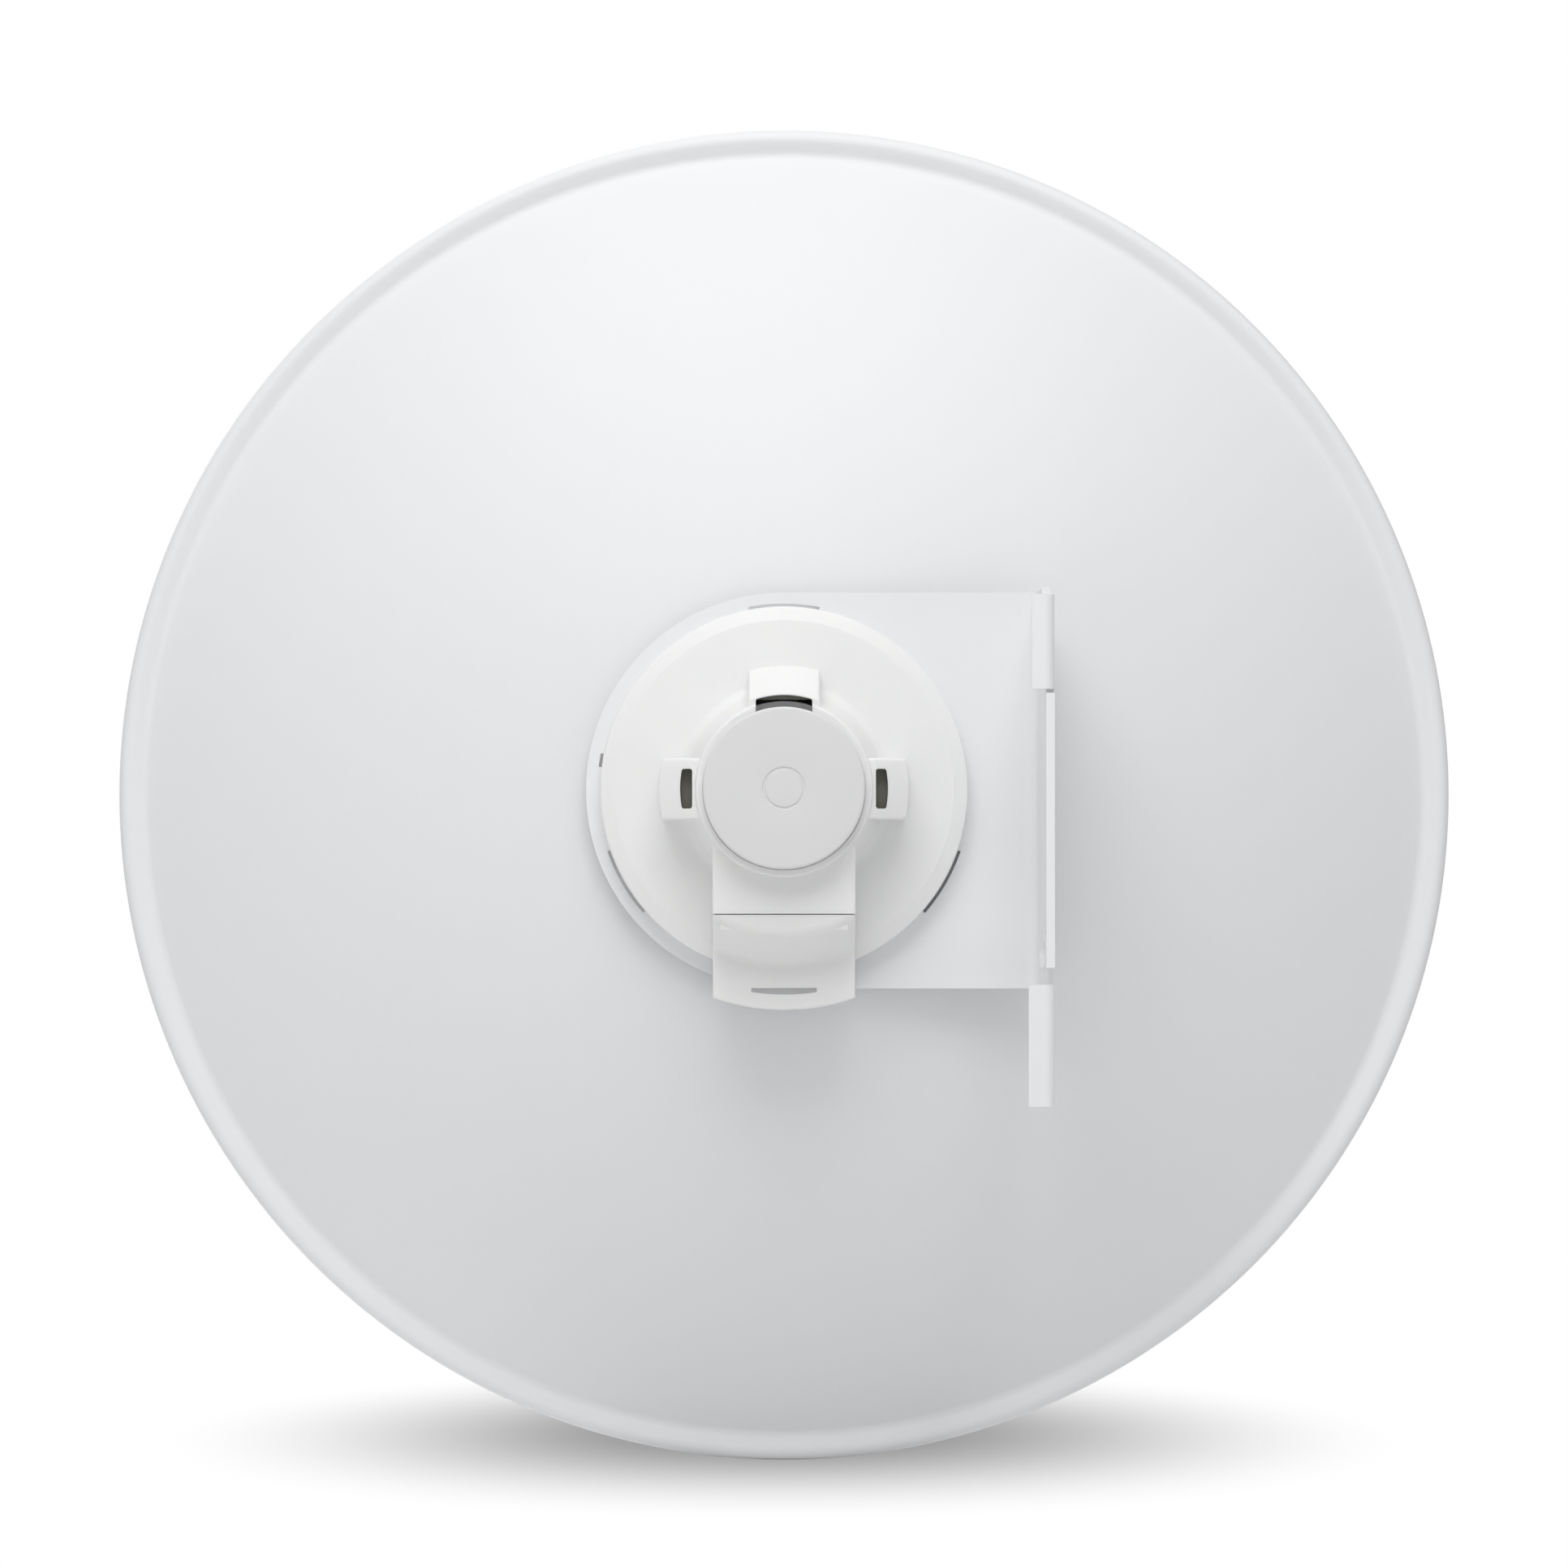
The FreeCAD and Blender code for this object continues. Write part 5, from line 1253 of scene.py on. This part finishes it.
@dataclass
class Studio:
    """The pale floor with a soft shadow painted into it, the soft light and the camera."""

    camera_back: float = 2029.0
    camera_drop: float = 32.5
    aim_y: float = -70.8
    aim_lift: float = 3.2
    lens: float = 152.3
    sensor: float = 36.0
    floor_radius: float = 30.0
    floor_tone: float = 0.86
    backdrop: float = 1.0
    # The shade_ values set the shadow painted into the floor's tone below the dish; the lights do not cast it.
    shade_depth: float = 0.71
    shade_middle: float = -170.0
    shade_across: float = 200.0
    shade_along: float = 300.0
    shade_core: float = 0.1
    shade_end: float = 1.05
    sky_low: float = 0.34
    sky_high: float = 0.64
    sky_side: float = 0.06
    sky_colour: tuple[float, float, float, float] = (0.995, 0.997, 1.0, 1.0)
    key_energy: float = 9.8
    key_size: float = 0.9
    key_place: tuple[float, float, float] = (60.0, 740.0, 1000.0)
    bowl_energy: float = 15.0
    bowl_size: float = 1.0
    bowl_place: tuple[float, float, float] = (900.0, -1600.0, 1100.0)

    def camera(self) -> None:
        """Sets the camera behind the antenna, a little below the boresight."""
        data = bpy.data.cameras.new("rear_view")
        data.lens = self.lens
        data.sensor_width = self.sensor
        data.clip_end = 50.0
        camera = bpy.data.objects.new("rear_view", data)
        bpy.context.scene.collection.objects.link(camera)
        camera.location = place(0.0, self.camera_back, -self.camera_drop)
        aim = place(0.0, self.aim_y, self.aim_lift) - camera.location
        camera.rotation_euler = aim.to_track_quat("-Z", "Y").to_euler()
        bpy.context.scene.camera = camera

    def floor(self) -> None:
        """Lays the pale floor that the rim stands on, with a soft shadow painted into its tone below the dish."""
        low = CAD_BOX[0]
        bpy.ops.mesh.primitive_circle_add(
            vertices=96, radius=self.floor_radius, fill_type="NGON", location=(BORESIGHT.x, BORESIGHT.y, low.z)
        )
        floor = bpy.context.object
        floor.name = "studio_floor"
        bpy.ops.object.transform_apply(location=True, rotation=False, scale=False)
        material = bpy.data.materials.new("studio_floor")
        material.use_nodes = True
        tree = material.node_tree
        surface = tree.nodes["Principled BSDF"]
        surface.inputs["Base Color"].default_value = (self.floor_tone, self.floor_tone, self.floor_tone, 1.0)
        surface.inputs["Roughness"].default_value = 0.9
        surface.inputs["Specular IOR Level"].default_value = 0.0
        # The lens sees the floor as a glow whose strength carries the painted shadow, so shadows cast by the lights
        # don't show on it.
        seen = tree.nodes.new("ShaderNodeEmission")
        tree.links.new(self.painted_shadow_below(tree), seen.inputs["Strength"])
        shown = Shading.for_the_lens(tree, surface, seen)
        tree.links.new(shown, tree.nodes["Material Output"].inputs["Surface"])
        floor.data.materials.append(material)

    def painted_shadow_below(self, tree: bpy.types.NodeTree) -> bpy.types.NodeSocket:
        """The floor's tone for the lens: white, with a painted shadow that darkens softly towards a spot below the
        dish.

        Args:
            tree: the floor material's node tree.

        Returns:
            The tone's socket.
        """
        coords = tree.nodes.new("ShaderNodeTexCoord")
        offset = Shading.node(tree, "ShaderNodeVectorMath", operation="SUBTRACT")
        offset.inputs[1].default_value = place(0.0, self.shade_middle, 0.0)
        tree.links.new(coords.outputs["Object"], offset.inputs[0])
        scaled = Shading.node(tree, "ShaderNodeVectorMath", operation="MULTIPLY")
        scaled.inputs[1].default_value = (1 / (self.shade_across * MM), 1 / (self.shade_along * MM), 0.0)
        tree.links.new(offset.outputs[0], scaled.inputs[0])
        reach = Shading.node(tree, "ShaderNodeVectorMath", operation="LENGTH")
        tree.links.new(scaled.outputs[0], reach.inputs[0])
        # How deep the painted shadow is at each spot of the floor.
        fall = Shading.node(
            tree,
            "ShaderNodeMapRange",
            interpolation_type="SMOOTHSTEP",
            From_Min=self.shade_core,
            From_Max=self.shade_end,
            To_Min=self.shade_depth,
            To_Max=0.0,
        )
        tree.links.new(reach.outputs["Value"], fall.inputs["Value"])
        return Shading.maths(tree, "SUBTRACT", 1.0, fall.outputs["Result"])

    def surroundings(self) -> None:
        """Pale all round, a little brighter above than at the sides."""
        world = bpy.data.worlds.new("studio")
        bpy.context.scene.world = world
        world.use_nodes = True
        tree = world.node_tree
        tree.nodes.clear()
        coords = tree.nodes.new("ShaderNodeTexCoord")
        axes = tree.nodes.new("ShaderNodeSeparateXYZ")
        tree.links.new(coords.outputs["Generated"], axes.inputs["Vector"])
        ramp = Shading.node(
            tree, "ShaderNodeMapRange", From_Min=0.0, From_Max=1.0, To_Min=self.sky_low, To_Max=self.sky_high
        )
        tree.links.new(axes.outputs["Z"], ramp.inputs["Value"])
        lean = Shading.maths(tree, "MULTIPLY", axes.outputs["X"], self.sky_side)
        lean = Shading.maths(tree, "ADD", lean, 1.0)
        strength = Shading.maths(tree, "MULTIPLY", ramp.outputs["Result"], lean)
        room = Shading.node(tree, "ShaderNodeBackground", Color=self.sky_colour)
        tree.links.new(strength, room.inputs["Strength"])
        seen = Shading.node(tree, "ShaderNodeBackground", Color=(1.0, 1.0, 1.0, 1.0), Strength=self.backdrop)
        out = tree.nodes.new("ShaderNodeOutputWorld")
        tree.links.new(Shading.for_the_lens(tree, room, seen), out.inputs["Surface"])

    def panel(self, name: str, energy: float, size: float, spot: Sequence[float]) -> None:
        """A soft square panel that faces the middle of the antenna.

        Args:
            name: the light's name.
            energy: its power in watts.
            size: its side in metres.
            spot: its place in millimetres about the boresight.
        """
        data = bpy.data.lights.new(name, "AREA")
        data.size = size
        data.energy = energy
        light = bpy.data.objects.new(name, data)
        bpy.context.scene.collection.objects.link(light)
        light.location = place(*spot)
        light.rotation_euler = (light.location - BORESIGHT).to_track_quat("Z", "Y").to_euler()
        light.visible_camera = False

    def build(self) -> None:
        """Sets up the whole studio."""
        self.camera()
        self.floor()
        self.surroundings()
        self.panel("overhead", self.key_energy, self.key_size, self.key_place)
        self.panel("bowl_light", self.bowl_energy, self.bowl_size, self.bowl_place)
        bpy.context.scene.view_settings.view_transform = "Standard"


def main() -> None:
    """Builds the pieces in order, then the studio."""
    logging.basicConfig(level=logging.INFO, format="%(message)s")
    bpy.ops.object.select_all(action="DESELECT")
    wardrobe = Wardrobe()
    wardrobe.dress_nodes()
    Reflector().build(wardrobe)
    TailCap().build(wardrobe)
    for softened in SOFTENED:
        softened.build(wardrobe)
    Fixings().build(wardrobe)
    FeedTip().build(wardrobe)
    BoardParts().build(wardrobe)
    PocketShadowSheets().build(wardrobe)
    Studio().build()


if __name__ == "__main__":
    main()
